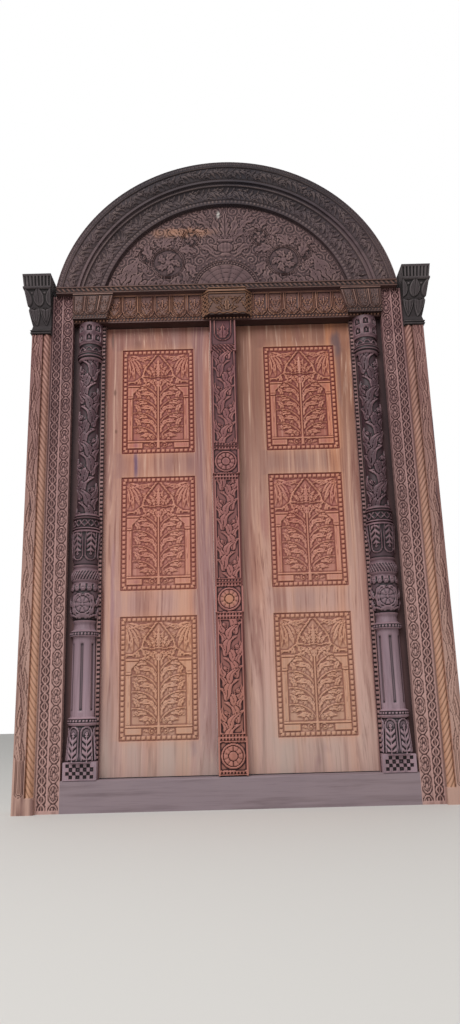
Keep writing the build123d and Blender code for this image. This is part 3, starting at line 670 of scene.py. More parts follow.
def leaf_panel(p, q, half, tall):
    """Arched panel with a raised rim, an eye near the top and chevron leaves below it."""
    shoulder = tall - half
    off = np.where(q > shoulder, np.hypot(p, q - shoulder), abs(p))
    rim = ridge(off - half + 3.5, 3.0, 2) * (q > 2) * (q < tall)
    reach = np.hypot(p, q - shoulder + 2)
    eye = raised(7 - reach, 2) - 0.8 * raised(3 - reach, 1.5)
    chevron = repeated(q - abs(p) * 0.9, 26)
    leaves = ridge(chevron, 8.5, 3) * (abs(p) < half - 8) * (q < shoulder - 12) * (q > 6)
    spine = ridge(p, 2.4, 1) * (q < shoulder - 8)
    return np.maximum.reduce([rim, eye, leaves, spine])


def foliage(p, q, pitch, half):
    """Scrolling acanthus: an S stem under lobed leaves that fill each bend, with a curl and a bud."""
    off = from_wave(p, q, pitch, half * 0.45)
    height = raised(4.6 - off, 2) - 0.4 * raised(1.2 - off, 1)
    unit = pitch / 2
    for hand, local in bends(q, pitch):
        x = hand * p
        height = np.maximum(height, curl(x, local, (-half * 0.5, -unit * 0.5), half * 0.36, 1.5, hand, 5.0))
        height = overlaid(height, x, local, (
            ((half * 0.5, -unit * 0.85), (half * 1.3, -unit * 0.25), unit * 0.12, half * 0.8),
            ((half * 0.6, -unit * 0.3), (half * 1.35, unit * 0.3), unit * 0.12, half * 0.8),
            ((half * 0.5, unit * 0.2), (half * 1.0, unit * 0.9), -unit * 0.12, half * 0.7),
            ((half * 0.4, -unit * 0.7), (-half * 0.85, unit * 0.1), -unit * 0.24, half * 1.0),
            ((half * 0.25, -unit * 0.1), (-half * 0.95, unit * 0.6), -unit * 0.18, half * 0.9),
        ), 1, 2.6)
        reach = np.hypot(x + half * 0.7, local + unit * 0.42)
        bud = raised(half * 0.26 - reach, 3) - 0.6 * ridge(reach - half * 0.14, 2.5, 2)
        height = np.where(reach < half * 0.3, bud, height)
    return height


def rosette(x, z, radius, petals, eye):
    """Round flower: raised rim, petals parted by cuts, and a domed eye."""
    reach = np.hypot(x, z)
    turn = np.arctan2(z, x)
    rim = ridge(reach - radius * 0.91, radius * 0.09, 2)
    parted = 0.3 + 0.6 * abs(np.cos(petals * turn / 2)) ** 0.6
    petal = raised(radius * 0.8 - reach) * parted * (reach > eye)
    dome = raised(eye - reach, 4)
    return np.maximum.reduce([rim, petal, dome * 0.9])


def colonnette_carving(turn, level, radius):
    """Relief of a colonnette from turn about its axis and level above the plinth, and its depth."""
    p = turn * radius
    height = np.ones_like(p)
    depth = np.full_like(p, 4.0)

    def zone(low, high, field, deep):
        """Puts a field, and how deep it is cut, between two levels."""
        inside = (level >= low) & (level < high)
        height[inside] = field[inside]
        depth[inside] = deep

    sixth = repeated(turn - pi / 6, pi / 3) * radius
    off_flute = np.hypot(repeated(turn, pi / 3) * radius, np.maximum(abs(level - 357) - 138, 0))
    flute = raised(10.5 - off_flute, 6) * 0.7 + ridge(off_flute - 10.5, 2.0, 1.5) * 0.3
    zone(2, 152, leaf_panel(sixth, level - 2, 30, 146), 5.0)
    zone(184, 530, 1 - flute, 7.0)
    for low, high in ((158, 181), (534, 551)):
        row = level - (low + high) / 2
        beads = bead_line(p, row, 16.0, 6.8, 4)
        zone(low, high, np.maximum(beads, ridge(abs(row) - 9, 1.8, 1)), 4.0)
    flower = rosette(p, level - 672, 46, 8, 10)
    around_it = np.hypot(p, level - 672)
    scallop = 3 * np.cos(10 * np.arctan2(level - 672, p))
    flower = np.maximum(flower, raised(8 - abs(around_it - 54) + scallop, 2) * 0.8)
    wings = overlaid(np.zeros_like(p), abs(p), level, (((66, 616), (92, 668), -8, 30),
                                                       ((64, 664), (96, 720), -8, 32)))
    lip = ridge(level - 616 - 10 * abs(np.cos(turn * 3)), 6, 2)
    zone(604, 722, np.maximum(np.where(around_it < 66, flower, wings), lip), 6.0)
    beside = repeated(p, 31)
    petal = raised(13 - np.hypot(beside, np.maximum(764 - level, 0) - 18), 3)
    petal = np.maximum(petal, ridge(beside, 13, 3) * (level > 746))
    zone(724, 766, petal - 0.5 * ridge(np.hypot(beside, level - 747) - 7, 2.5, 1.5), 5.0)
    cord = ridge(repeated(p * 0.8 + level * 0.45, 11.5), 4.6, 3)
    zone(786, 826, cord, 4.0)
    zone(852, 1004, leaf_panel(sixth, 1004 - level, 30, 132) * (level > 872), 5.0)
    strands = np.minimum(abs(repeated(p - level * 0.9, 32)), abs(repeated(p + level * 0.9, 32)))
    band = raised(4.5 - strands, 3) * ridge(level - 1048, 17, 3)
    fillet = ridge(abs(level - 1048) - 24, 4.5, 2)
    zone(1014, 1082, np.maximum(band, fillet), 5.0)
    zone(1092, 1866, foliage(p, level, foliage_pitch, foliage_half), 8.0)
    ring = ridge(abs(level - 1895) - 8, 4.5, 3) - 0.4 * ridge(repeated(p, 9), 1.5, 1) * (level > 1895)
    zone(1878, 1912, ring, 4.0)
    arcs = ridge(np.hypot(repeated(p, 40), level - 1916) - 17, 3.2, 2)
    zone(1916, 1950, arcs, 4.0)
    column = abs(repeated(turn, 2 * pi / 8)) * radius
    step = repeated(level - 1987, 50)
    hole = raised(15 - np.hypot(column, np.maximum(step - 3, 0)), 3) * raised(step + 17, 2)
    rib = ridge(column - 1.5 - abs(step) * 0.3, 2.6, 1.6) * (step > -10)
    zone(1962, 2062, 1 - hole * (1 - 0.8 * rib), 8.0)
    return height, depth


colonnette_wood = wood("colonnette_wood", head=(66, 42, 50), foot=(162, 138, 148), vein=(56, 32, 38),
                       groove=(20, 10, 14), crest=(166, 132, 138), along="Z", rough=0.42, streaks=0.45,
                       span=(0.3, 1.3), face=front_of("left_colonnette"),
                       stains=[(x, 0.15, 0.11, 0.10, (62, 56, 62), 0.5) for x in (-0.655, 0.655)])
for side, name, low, high in both_sides("colonnette"):
    stop_low, stop_high = box(name.replace("colonnette", "beaded_stop"))
    back = stop_low[1]
    centre = from_middle(stop_low, stop_high)[0] + colonnette_inset
    axis = back + colonnette_axis
    base = low[2] + plinth_height
    z = lines(base, high[2], colonnette_line)
    radius = profile_reach(colonnette_profile, z - base)
    widest = np.arccos(colonnette_axis / radius)
    turn = lines(-1, 1, 2 / colonnette_columns) * widest[:, None]
    level = np.broadcast_to((z - base)[:, None], turn.shape)
    height, depth = colonnette_carving(turn, level, radius[:, None])
    reach = radius[:, None] - depth * (1 - height)
    x = centre + reach * np.sin(turn)
    y = np.minimum(axis - reach * np.cos(turn), back)
    points = np.stack([side * x, y, np.broadcast_to(z[:, None], x.shape)], axis=-1)
    shell(name + "_turned", points, height, colonnette_wood, "frame", [name])

    half = (high[0] - low[0]) / 2
    x = lines(centre - half, centre + half, plinth_line)
    z = lines(low[2], base, plinth_line)
    p, q = np.meshgrid(x - centre, z - low[2] - plinth_rim)
    chequer = (np.floor(p / plinth_square) + np.floor(q / plinth_square)) % 2
    chequered = (abs(p) < 4 * plinth_square) & (q > 0) & (q < 4 * plinth_square)
    height = np.where(chequered, chequer, 1.0)
    front = box("sill")[0][1] + plinth_relief * (1 - height)
    shell(name + "_plinth", board_loops(side * x, z, front, back), face_only(height),
          colonnette_wood, "frame", [])


# The lintel is one hardwood beam, tenoned between the jambs over the leaves. Lotus petals with a leaf
# in each hang along its face from head to bead row, and blocks are fixed on it over the colonnettes
# and the post.

petal_pitch = 80.0
petal_relief = 8.0
petal_level = 22.0
bead_strip = 20.0
bead_row = 12.0
bead_pitch = 17.0
bead_radius = 5.6
petal_margin = 36.0
lintel_fillet = 8.0
lintel_line = 3.3
lintel_column = 3.4
impost_line = 3.0
impost_foot = 167.0
impost_head = 199.0
impost_relief = 6.0
impost_pitch = 55.7
impost_middle = 28.0
impost_columns = 64
impost_petal_level = 20.0
impost_petal_margin = 32.0
impost_bead_strip = 17.0
impost_bead_row = 10.0
impost_bead_pitch = 15.0
impost_bead_radius = 5.0
impost_rim = 14.0
impost_groove = 10.0
block_half = 117.0
block_slope = 34.0
block_side_growth = 8.0
block_front_growth = 7.0
block_head_growth = 9.0
block_head = 32.0
block_relief = 7.0
block_line = 2.9


def lotus(p, q, pitch, tall):
    """Hanging petals: a double U rim round a plant with two leaves and a bud, and wedges between."""
    local = repeated(p, pitch)
    half = pitch * 0.48
    off = np.where(q < half, np.hypot(local, q - half), abs(local))
    rims = np.maximum(ridge(off - half + 3.5, 2.7, 1.5), ridge(off - half + 10.5, 2.0, 1.4) * 0.9)
    plant = overlaid(np.full_like(p, 0.3), abs(local), q, (
        ((1, tall * 0.12), (half * 0.6, tall * 0.52), -half * 0.14, half * 0.36),
        ((1, tall * 0.36), (half * 0.58, tall * 0.94), -half * 0.16, half * 0.36),
        ((0, tall * 0.46), (0, tall * 0.98), 0, half * 0.3)), 3, 1.4)
    wedge = ridge(repeated(off - half, 8), 2.2, 1.5) * 0.8
    return np.where(off > half, wedge, np.maximum(rims, np.where(off < half - 13, plant, 0.15)))


def underside(q):
    """Shade of a board's front and back: 1 at its lower edge, and 0 from 3 mm up."""
    return np.pad(raised(3 - q, 3), ((0, 0), (0, 2)), mode="edge")


lintel_wood = wood("lintel_wood", head=(112, 76, 72), foot=(112, 76, 72), vein=(76, 46, 44),
                   groove=(38, 18, 18), crest=(190, 142, 112), along="X", rough=0.5)
low, high = box("lintel")
jamb_side = box("right_jamb")[0][0]
x = lines(-jamb_side, jamb_side, lintel_column)
z = lines(low[2], high[2], lintel_line)
p, q = np.meshgrid(x, z - low[2])
tall = high[2] - low[2]
petals = lotus(abs(p) - block_half - petal_pitch * 0.55, q - petal_level, petal_pitch,
               tall - petal_margin)
beads = bead_line(p, q - bead_row, bead_pitch, bead_radius)
height = np.where(q < bead_strip, beads, np.where(q > tall - lintel_fillet, 1.0, petals))
carved_board("lintel", x, z, height, petal_relief, lintel_wood, "lintel_wood", shade=underside(q))

impost_wood = wood("impost_wood", head=(98, 71, 66), foot=(98, 71, 66), vein=(64, 42, 42),
                   groove=(32, 17, 18), crest=(150, 114, 98), along="X", rough=0.5,
                   stains=((0.68, 2.37, 0.13, 0.16, (58, 42, 46), 0.5),), face=front_of("right_impost"))
for side, name, low, high in both_sides("impost"):
    outer = from_middle(low, high)[1]
    z = lines(low[2], high[2], impost_line)
    inner = outer - np.interp(z, [low[2], high[2]], [impost_foot, impost_head])
    share = lines(0, 1, 1 / impost_columns)
    x = outer - (outer - inner)[:, None] * share
    p = np.broadcast_to(share * impost_foot, x.shape)
    q = np.broadcast_to((z - low[2])[:, None], x.shape)
    tall = high[2] - low[2]
    petals = lotus(p - impost_middle, q - impost_petal_level, impost_pitch, tall - impost_petal_margin)
    beads = bead_line(p, q - impost_bead_row, impost_bead_pitch, impost_bead_radius)
    rim = raised(abs(q - tall + impost_groove) - 2, 1.5)
    height = np.where(q < impost_bead_strip, beads, np.where(q > tall - impost_rim, rim, petals))
    carved_board(name, side * x, z, height, impost_relief, impost_wood, "lintel_wood", shade=underside(q))

low, high = box("lintel_centre_block")
low = low - (block_side_growth, block_front_growth, 0)
high = high + (block_side_growth, 0, block_head_growth)
half = high[0]
face_half = half - block_slope
z = lines(low[2], high[2], block_line)
x = lines(-half, half, block_line)
p, q = np.meshgrid(x, z - low[2])
tall = high[2] - low[2]
a = abs(p)
fillets = raised(abs(repeated(q - tall + 8, 16)) - 2.0, 1.5) * (q > tall - block_head)
drawn = overlaid(np.full_like(p, 0.25), a, q, (
    ((6, 94), (84, 104), -14, 16), ((84, 96), (52, 52), -8, 18), ((70, 70), (92, 22), 8, 20),
    ((56, 40), (24, 14), -8, 18), ((44, 92), (18, 64), 6, 14), ((30, 22), (62, 12), -6, 12),
    ((0, 20), (0, 84), 0, 36), ((10, 30), (30, 70), -8, 14)), 3, 2)
drawn = np.maximum(drawn, curl(a, q, (46, 66), 16, 1.4, 1, 4.5))
feet = ridge(q - 8 - 3 * np.cos(p / 6), 4, 2)
scales = ridge(np.hypot(repeated(q, 24), (a - 80) % 19 - 9) - 9, 5, 3)
body = np.maximum(np.where(a > face_half + 2, scales, drawn), feet)
height = np.where(q > tall - block_head, fillets, body)
slope = np.clip((a - face_half) / (half - face_half), 0, 1)
setback = (high[1] - low[1]) * slope
front = low[1] + setback + np.minimum(block_relief, (high[1] - low[1]) * (1 - slope)) * (1 - height)
block_wood = wood("block_wood", head=(93, 60, 50), foot=(93, 60, 50), vein=(64, 42, 36), groove=(36, 20, 18),
                  crest=(160, 120, 88), along="X", rough=0.5)
shell("lintel_centre_block_carved", board_loops(x, z, front, high[1] + 0.5), face_only(height), block_wood,
      "frame", ["lintel_centre_block"], {"shade": underside(q)})


# The rail is a batten of dark wood, which lies on the lintel and carries the foot of the arch. It has
# a fillet along its head and one along its foot, with a twisted cord cut between them.

rail_line = 2.6
rail_column = 4.0
rail_relief = 5.0
rail_fillet = 8.0

rail_wood = wood("rail_wood", head=(68, 48, 48), foot=(68, 48, 48), vein=(46, 32, 32), groove=(26, 16, 17),
                 crest=(122, 88, 72), along="X", rough=0.6)
low, high = box("arch_rail")
z = lines(low[2], high[2], rail_line)
x = lines(low[0], high[0], rail_column)
p, q = np.meshgrid(x, z - low[2])
half = (high[2] - low[2]) / 2
off = abs(q - half)
twist = ridge(repeated(p + q * 0.9, 24), 8.5, 5) * raised(half - rail_fillet - off, 2)
height = np.maximum(twist, raised(off - half + rail_fillet, 2))
carved_board("arch_rail", x, z, height, rail_relief, rail_wood, "lintel_wood")


# The arch is built up on the rail from two rings of dark, dry wood, each in a left, a crown and a
# right length. The outer ring has a hatched rim and a foliage band, and the inner ring a leafy hollow
# and a bead row.

outer_width = 110.0
outer_hatch = 22.0
outer_groove = 8.0
outer_band = 67.0
outer_crown = 12.5
inner_width = 115.0
inner_fillet = 14.0
inner_band = 78.0
inner_crown = 24.0
arch_bead = 23.0
arch_leaf_pitch = 150.0
arch_line = 4.4
section_line = 3.9
plain_depth = 40.0
side_end = 80.0

arch_head = box("outer_arch_crown")[1][2]
springing = box("arch_rail")[1][2]
arch_half = box("right_outer_arch")[1][0]
arch_rise = arch_head - springing
arch_radius = (arch_half ** 2 + arch_rise ** 2) / (2 * arch_rise)
arch_centre = arch_head - arch_radius
ring_joint = arch_radius - outer_width
ring_bore = ring_joint - inner_width


def running_leaves(p, q, pitch, half):
    """Acanthus that leans along a band: a wavy stem, lobed leaves and a curl in each bend."""
    height = ridge(p - half * 0.3 * np.sin(2 * pi * q / pitch), 3.6, 2)
    unit = pitch / 2
    for hand, local in bends(q, pitch):
        x = hand * p
        eye = (-half * 0.35, -unit * 0.62)
        height = np.maximum(height, curl(x, local, eye, half * 0.34, 1.5, hand, 4.0))
        height = overlaid(height, x, local, (
            ((half * 0.5, -unit * 0.45), (half * 0.98, unit * 0.1), 6, half * 0.5),
            ((half * 0.5, -unit * 0.05), (half * 0.98, unit * 0.55), 6, half * 0.5),
            ((half * 0.4, -unit * 0.75), (-half * 0.95, -unit * 0.1), -8, half * 0.7),
            ((half * 0.4, -unit * 0.3), (-half * 0.98, unit * 0.35), -10, half * 0.74),
            ((half * 0.2, unit * 0.1), (-half * 0.9, unit * 0.8), -8, half * 0.66),
        ), 1, 1.8)
    return height


def ring_piece(node, section, carving, start, end, radius, material):
    """Curved piece: a section of (radius, setback) points turned from start to end degrees.

    The crown is 0 degrees. carving gives height and depth from the section's radius and the length
    along the arch; what lies near the back is left plain.
    """
    foot = np.degrees(np.arccos((springing - arch_centre) / section[:, 0]))
    from_turn = np.clip(start, -foot, foot)
    to_turn = np.clip(end, -foot, foot)
    length = radius * radians(abs(min(end, side_end) - max(start, -side_end)))
    turns = np.radians(from_turn + (to_turn - from_turn) * lines(0, 1, arch_line / length)[:, None])
    reach = np.broadcast_to(section[:, 0], turns.shape)
    setback = np.broadcast_to(section[:, 1], turns.shape)
    height, depth = carving(reach, turns * radius)
    plain = setback > box(node)[1][1] - plain_depth
    height = np.where(plain, 1.0, height)
    y = np.where(plain, setback, setback + depth * (1 - height))
    points = np.stack([reach * np.sin(turns), y, arch_centre + reach * np.cos(turns)], axis=-1)
    shell(node + "_carved", points, height, material, "frame", [node])


def finely(points, spacing):
    """Section points with more set between them, at about a spacing."""
    points = np.array(points, float)
    filled = [points[:1]]
    for start, end in zip(points[:-1], points[1:]):
        count = max(1, int(round(np.hypot(*(end - start)) / spacing)))
        filled.append(start + (end - start) * np.arange(1, count + 1)[:, None] / count)
    return np.concatenate(filled)


def outer_carving(reach, along):
    """Height and depth of the outer ring: hatched rim, groove, foliage band and plain step."""
    inwards = arch_radius - reach
    hatch = ridge(repeated(along + 0.9 * abs(inwards - outer_hatch / 2), 11), 2.6, 1.8)
    rim = np.maximum(hatch, raised(2 - inwards, 1))
    middle = outer_hatch + outer_groove + outer_band / 2
    band = running_leaves(inwards - middle, along, arch_leaf_pitch, outer_band / 2 - 3)
    in_band = abs(inwards - middle) < outer_band / 2 - 2
    height = np.where(inwards < outer_hatch - 1, rim, np.where(in_band, band, 1.0))
    height = np.where((inwards >= outer_hatch) & (inwards < outer_hatch + outer_groove), 0.0, height)
    return height, np.where(in_band, 8.0, 4.5)


def inner_carving(reach, along):
    """Height and depth of the inner ring: fillet, hollow with foliage, and a row of round beads."""
    inwards = ring_joint - reach
    middle = inner_fillet + inner_band / 2
    band = running_leaves(inwards - middle, along, arch_leaf_pitch * 0.9, inner_band / 2 - 2)
    bead_middle = inner_width - arch_bead / 2
    bead = 0.6 * bead_line(along, inwards - bead_middle, arch_bead, 9.6, 5)
    in_band = abs(inwards - middle) < inner_band / 2 - 1
    height = np.where(in_band, band, np.where(inwards > inner_fillet + inner_band, bead, 1.0))
    return height, np.where(in_band, 8.0, 6.0)


arch_wood = wood("arch_wood", head=(41, 38, 45), foot=(92, 73, 76), vein=(40, 30, 33), groove=(22, 16, 18),
                 crest=(116, 98, 92), along="X", rough=0.68, streaks=0.6, depth=0.5, span=(2.5, 3.15),
                 face=front_of("right_outer_arch"), stains=(
                     (-0.30, 2.93, 0.13, 0.05, (116, 100, 84), 0.6),
                     (-0.33, 2.872, 0.008, 0.02, (160, 152, 148), 0.6),
                     (-0.60, 2.64, 0.05, 0.10, (104, 94, 96), 0.45)))
face_y = box("right_jamb")[0][1]
back_y = box("right_outer_arch")[1][1]
outer_front = face_y - 16
hatch_end = arch_radius - outer_hatch
band_start = hatch_end - outer_groove
step = ring_joint + 13
outer_section = finely([
    (ring_joint, back_y), (arch_radius, back_y), (arch_radius, outer_front + 6), (hatch_end, outer_front),
    (band_start, outer_front + 2), (band_start - outer_band / 2, outer_front), (step, outer_front + 12),
    (step, outer_front + 15), (ring_joint, outer_front + 15), (ring_joint, back_y - 1)], section_line)
inner_front = face_y + 14
bead_start = ring_bore + arch_bead
rebate = ring_bore + 18
inner_section = finely([
    (rebate, back_y), (ring_joint, back_y), (ring_joint, inner_front),
    (ring_joint - inner_fillet, inner_front), (ring_joint - 34, inner_front + 11),
    (ring_joint - 62, inner_front + 14), (bead_start, inner_front + 6),
    (bead_start - 2, inner_front + 4), (ring_bore, inner_front + 4), (ring_bore, face_y + 42),
    (rebate, face_y + 42)], section_line)
for ring, section, carving, radius, crown in (
        ("outer_arch", outer_section, outer_carving, arch_radius, outer_crown),
        ("inner_arch", inner_section, inner_carving, ring_joint, inner_crown)):
    ring_piece(ring + "_crown", section, carving, -crown, crown, radius, arch_wood)
    ring_piece("right_" + ring, section, carving, crown, 90, radius, arch_wood)
    ring_piece("left_" + ring, section, carving, -90, -crown, radius, arch_wood)


# The tympanum is two boards that fill the arch behind the inner ring. From the middle of its foot
# a fan of petals, a vase and its plant rise, and acanthus scrolls and medallions fill both sides.
# It is carved as one picture, so the two boards share one relief.

tympanum_line = 4.0
tympanum_relief = 7.0
board_gap = 0.5
board_rim = 6.0
board_tip = 2.0
fan_hub = 40.0
fan_reach = 150.0
fan_beads = 160.0
fan_lace = 184.0
fan_clear = 200.0
tendril_pitch = 58.0


def tendrils(x, z, pitch):
    """Ground filled with small curls, which turn left and right by turns on a brick grid."""
    row = np.floor(z / pitch + 0.5)
    shifted = x + pitch / 2 * (row % 2)
    column = np.floor(shifted / pitch + 0.5)
    across = shifted - column * pitch
    up = z - row * pitch
    hand = np.where((row + column) % 2 == 0, 1.0, -1.0)
    turn = (hand * np.arctan2(up, across) + row * 2.1 + column) / (2 * pi)
    gap = pitch * 0.3
    return ridge(repeated(np.hypot(across, up) - gap * turn, gap), 4.4, 2)


def thrown(middle, radius, turn, ahead, near, far):
    """Start and end of a leaf thrown off a medallion, in shares of its radius from its middle."""
    return [(middle[0] + radius * share * cos(angle), middle[1] + radius * share * sin(angle))
            for share, angle in ((near, turn), (far, turn + ahead))]


def scroll(height, x, z, middle, radius, hand, leaves):
    """Medallion: leaves thrown off outside a double ring, and a whirl of leaves round an eye in it."""
    across, up = x - middle[0], z - middle[1]
    reach = np.hypot(across, up)
    for turn in np.radians(leaves):
        start, end = thrown(middle, radius, turn, hand * 0.55, 0.95, 1.85)
        height = overlaid(height, x, z, [(start, end, -hand * radius * 0.25, radius * 0.7)], 3, 2.6)
    height = np.where(reach < radius + 5, ridge(abs(reach - radius + 4) - 4, 3.0, 2), height)
    whirl = np.zeros_like(x)
    for turn in np.radians((0, 72, 144, 216, 288)):
        start, end = thrown((0, 0), radius, turn, hand, 0.12, 0.8)
        whirl = overlaid(whirl, across, up, [(start, end, -hand * radius * 0.14, radius * 0.5)], 3, 2.2)
    whirl = np.maximum(whirl, raised(radius * 0.16 - reach, 3))
    return np.where(reach < radius - 9, whirl, height)


def tympanum_picture(x, up):
    """Relief from the distance to the middle line and the height above the rail."""
    a = abs(x)
    reach = np.hypot(a, up)
    turn = np.arctan2(a, up)
    ribs = 0.2 + 0.7 * abs(np.cos(turn * 7.5)) ** 0.5
    shell_fan = raised(fan_reach - reach) * ribs * (reach > fan_hub + 6)
    shell_fan = shell_fan * (1 - 0.5 * ridge(repeated(reach, 26), 2.2, 1.5))
    shell_fan = np.maximum(shell_fan, raised(fan_hub - reach, 4))
    beads = bead_line(turn * fan_beads, reach - fan_beads, 15, 6)
    band = ridge(abs(reach - fan_beads) - 11, 3, 1.5)
    lace = bead_line(turn * fan_lace, reach - fan_lace, 25, 7)
    fan = np.maximum.reduce([shell_fan, beads, band, lace])
    body = raised(1 - np.hypot(a / 44, (up - 250) / 34), 0.25) * (0.6 + 0.4 * abs(np.cos(a / 6)))
    lip = raised(9 - np.hypot(np.maximum(a - 34, 0), up - 292), 4)
    foot = raised(26 - a - (up - 205) * 0.2, 4) * ridge(up - 212, 10, 4)
    height = 0.2 + 0.5 * tendrils(a + 14, up, tendril_pitch) * (reach > fan_clear)
    for start, end, bow, width in (
        ((12, 300), (96, 386), -18, 44), ((10, 310), (56, 440), -14, 38), ((30, 240), (120, 250), 14, 32),
        ((60, 210), (150, 262), 18, 34), ((92, 320), (190, 330), 18, 40), ((80, 372), (170, 420), 14, 40),
        ((205, 60), (236, 150), 12, 38), ((200, 20), (262, 40), -8, 30), ((300, 30), (372, 62), 14, 40),
        ((372, 30), (452, 50), 14, 40), ((452, 40), (540, 30), 12, 40), ((300, 235), (372, 300), 14, 44),
        ((330, 190), (420, 250), 12, 40), ((400, 110), (470, 190), 12, 44), ((470, 120), (560, 110), 14, 40),
        ((230, 300), (300, 372), 12, 40), ((170, 350), (232, 412), 12, 38), ((98, 410), (150, 458), 8, 32),
        ((250, 250), (210, 330), -10, 32), ((420, 200), (480, 250), 10, 34),
        ((596, 20), (440, 214), 20, 74), ((560, 14), (500, 130), -12, 48), ((470, 16), (420, 120), -16, 54),
        ((400, 14), (352, 66), -12, 48), ((330, 12), (270, 60), -12, 44), ((540, 10), (590, 96), 10, 34),
    ):
        height = overlaid(height, a, up, [(start, end, bow, width * 1.25)], 2, 2.6)
    for middle, radius, hand, leaves in (((178, 306), 46, 1, (30, 90, 150, 320)),
                                         ((398, 214), 44, -1, (20, 70, 120, 300)),
                                         ((296, 168), 84, 1, (20, 75, 130, 185, 240))):
        height = scroll(height, a, up, middle, radius, hand, leaves)
    for start, end, bow in (
            ((60, 190), (210, 176), 24), ((120, 240), (150, 290), 8), ((214, 300), (262, 250), 12)):
        height = np.maximum(height, stem(a, up, start, end, bow, 7))
    height = overlaid(height, a, up, [((0, 298), (0, 470), 0, 54)], 5, 3.5)
    height = np.where((body > 0) | (lip > 0) | (foot > 0), 0.0, height)
    return np.maximum.reduce([height, fan, body, lip, foot])


tympanum_wood = wood("tympanum_wood", head=(94, 72, 74), foot=(92, 70, 74), vein=(64, 46, 47),
                     groove=(34, 22, 25), crest=(146, 118, 112), along="X", rough=0.7, streaks=0.7,
                     depth=0.9, face=front_of("tympanum_upper_board"), stains=(
                         (-0.224, 2.797, 0.20, 0.034, (158, 114, 90), 0.75),
                         (-0.033, 2.897, 0.010, 0.025, (206, 202, 196), 0.9)))
for name in ("tympanum_lower_board", "tympanum_upper_board"):
    low, high = box(name)
    z = lines(low[2], high[2] - board_gap, tympanum_line)
    half = np.sqrt(np.maximum(rebate ** 2 - (z - arch_centre) ** 2, board_tip ** 2))
    x = half[:, None] * lines(-1, 1, tympanum_line * 2 / (high[0] - low[0]))
    up = np.broadcast_to((z - springing)[:, None], x.shape)
    from_ring = ring_bore - np.hypot(x, z[:, None] - arch_centre)
    inside = raised(from_ring - board_rim, 4) * raised(up - board_rim, 4)
    height = tympanum_picture(x, up) * inside
    carved_board(name, x, z, height, tympanum_relief, tympanum_wood, "arch_wood")


# Each leaf is a wide and a narrow hardwood plank, held by ledges behind. Three panels are cut into the
# wide one: a border of square beads, a cusped arch on two columns, and a tree that fills the arch. The
# grain runs straight through plank and panels, with a few knots, and rain has left stains.

panel_half_width = 176.5
panel_half_height = 273.0
panel_from_middle = 349.0
panel_middles = (552.0, 1214.0, 1876.0)
panel_groove = 5.0
panel_border = 25.0
panel_bead_pitch = 22.3
panel_relief = 6.0
panel_line = 3.8
plain_line = 40.0
heel_from_middle = 625.0
heel_radius = 22.5
closed_joint = 1.1
edge_column = 12.0
edge_line = 30.0
ledges = 4
cusped_arch = ((150, 94), (115, 100), (70, 131), (62, 169), (26, 215), (0, 250))
arch_point = 250.0
arch_foot = 84.0
panel_capital = ((121, 16), (121, 22), (118, 40), (92, 66), (84, 82))
column_reach = 122.0
column_head = 16.0
column_foot = -206.0
base_head = -216.0


def grooved(height, inside, amount=1.0):
    """Cuts a line or pit into a height field."""
    return height * (1 - amount * np.clip(inside, 0, 1))


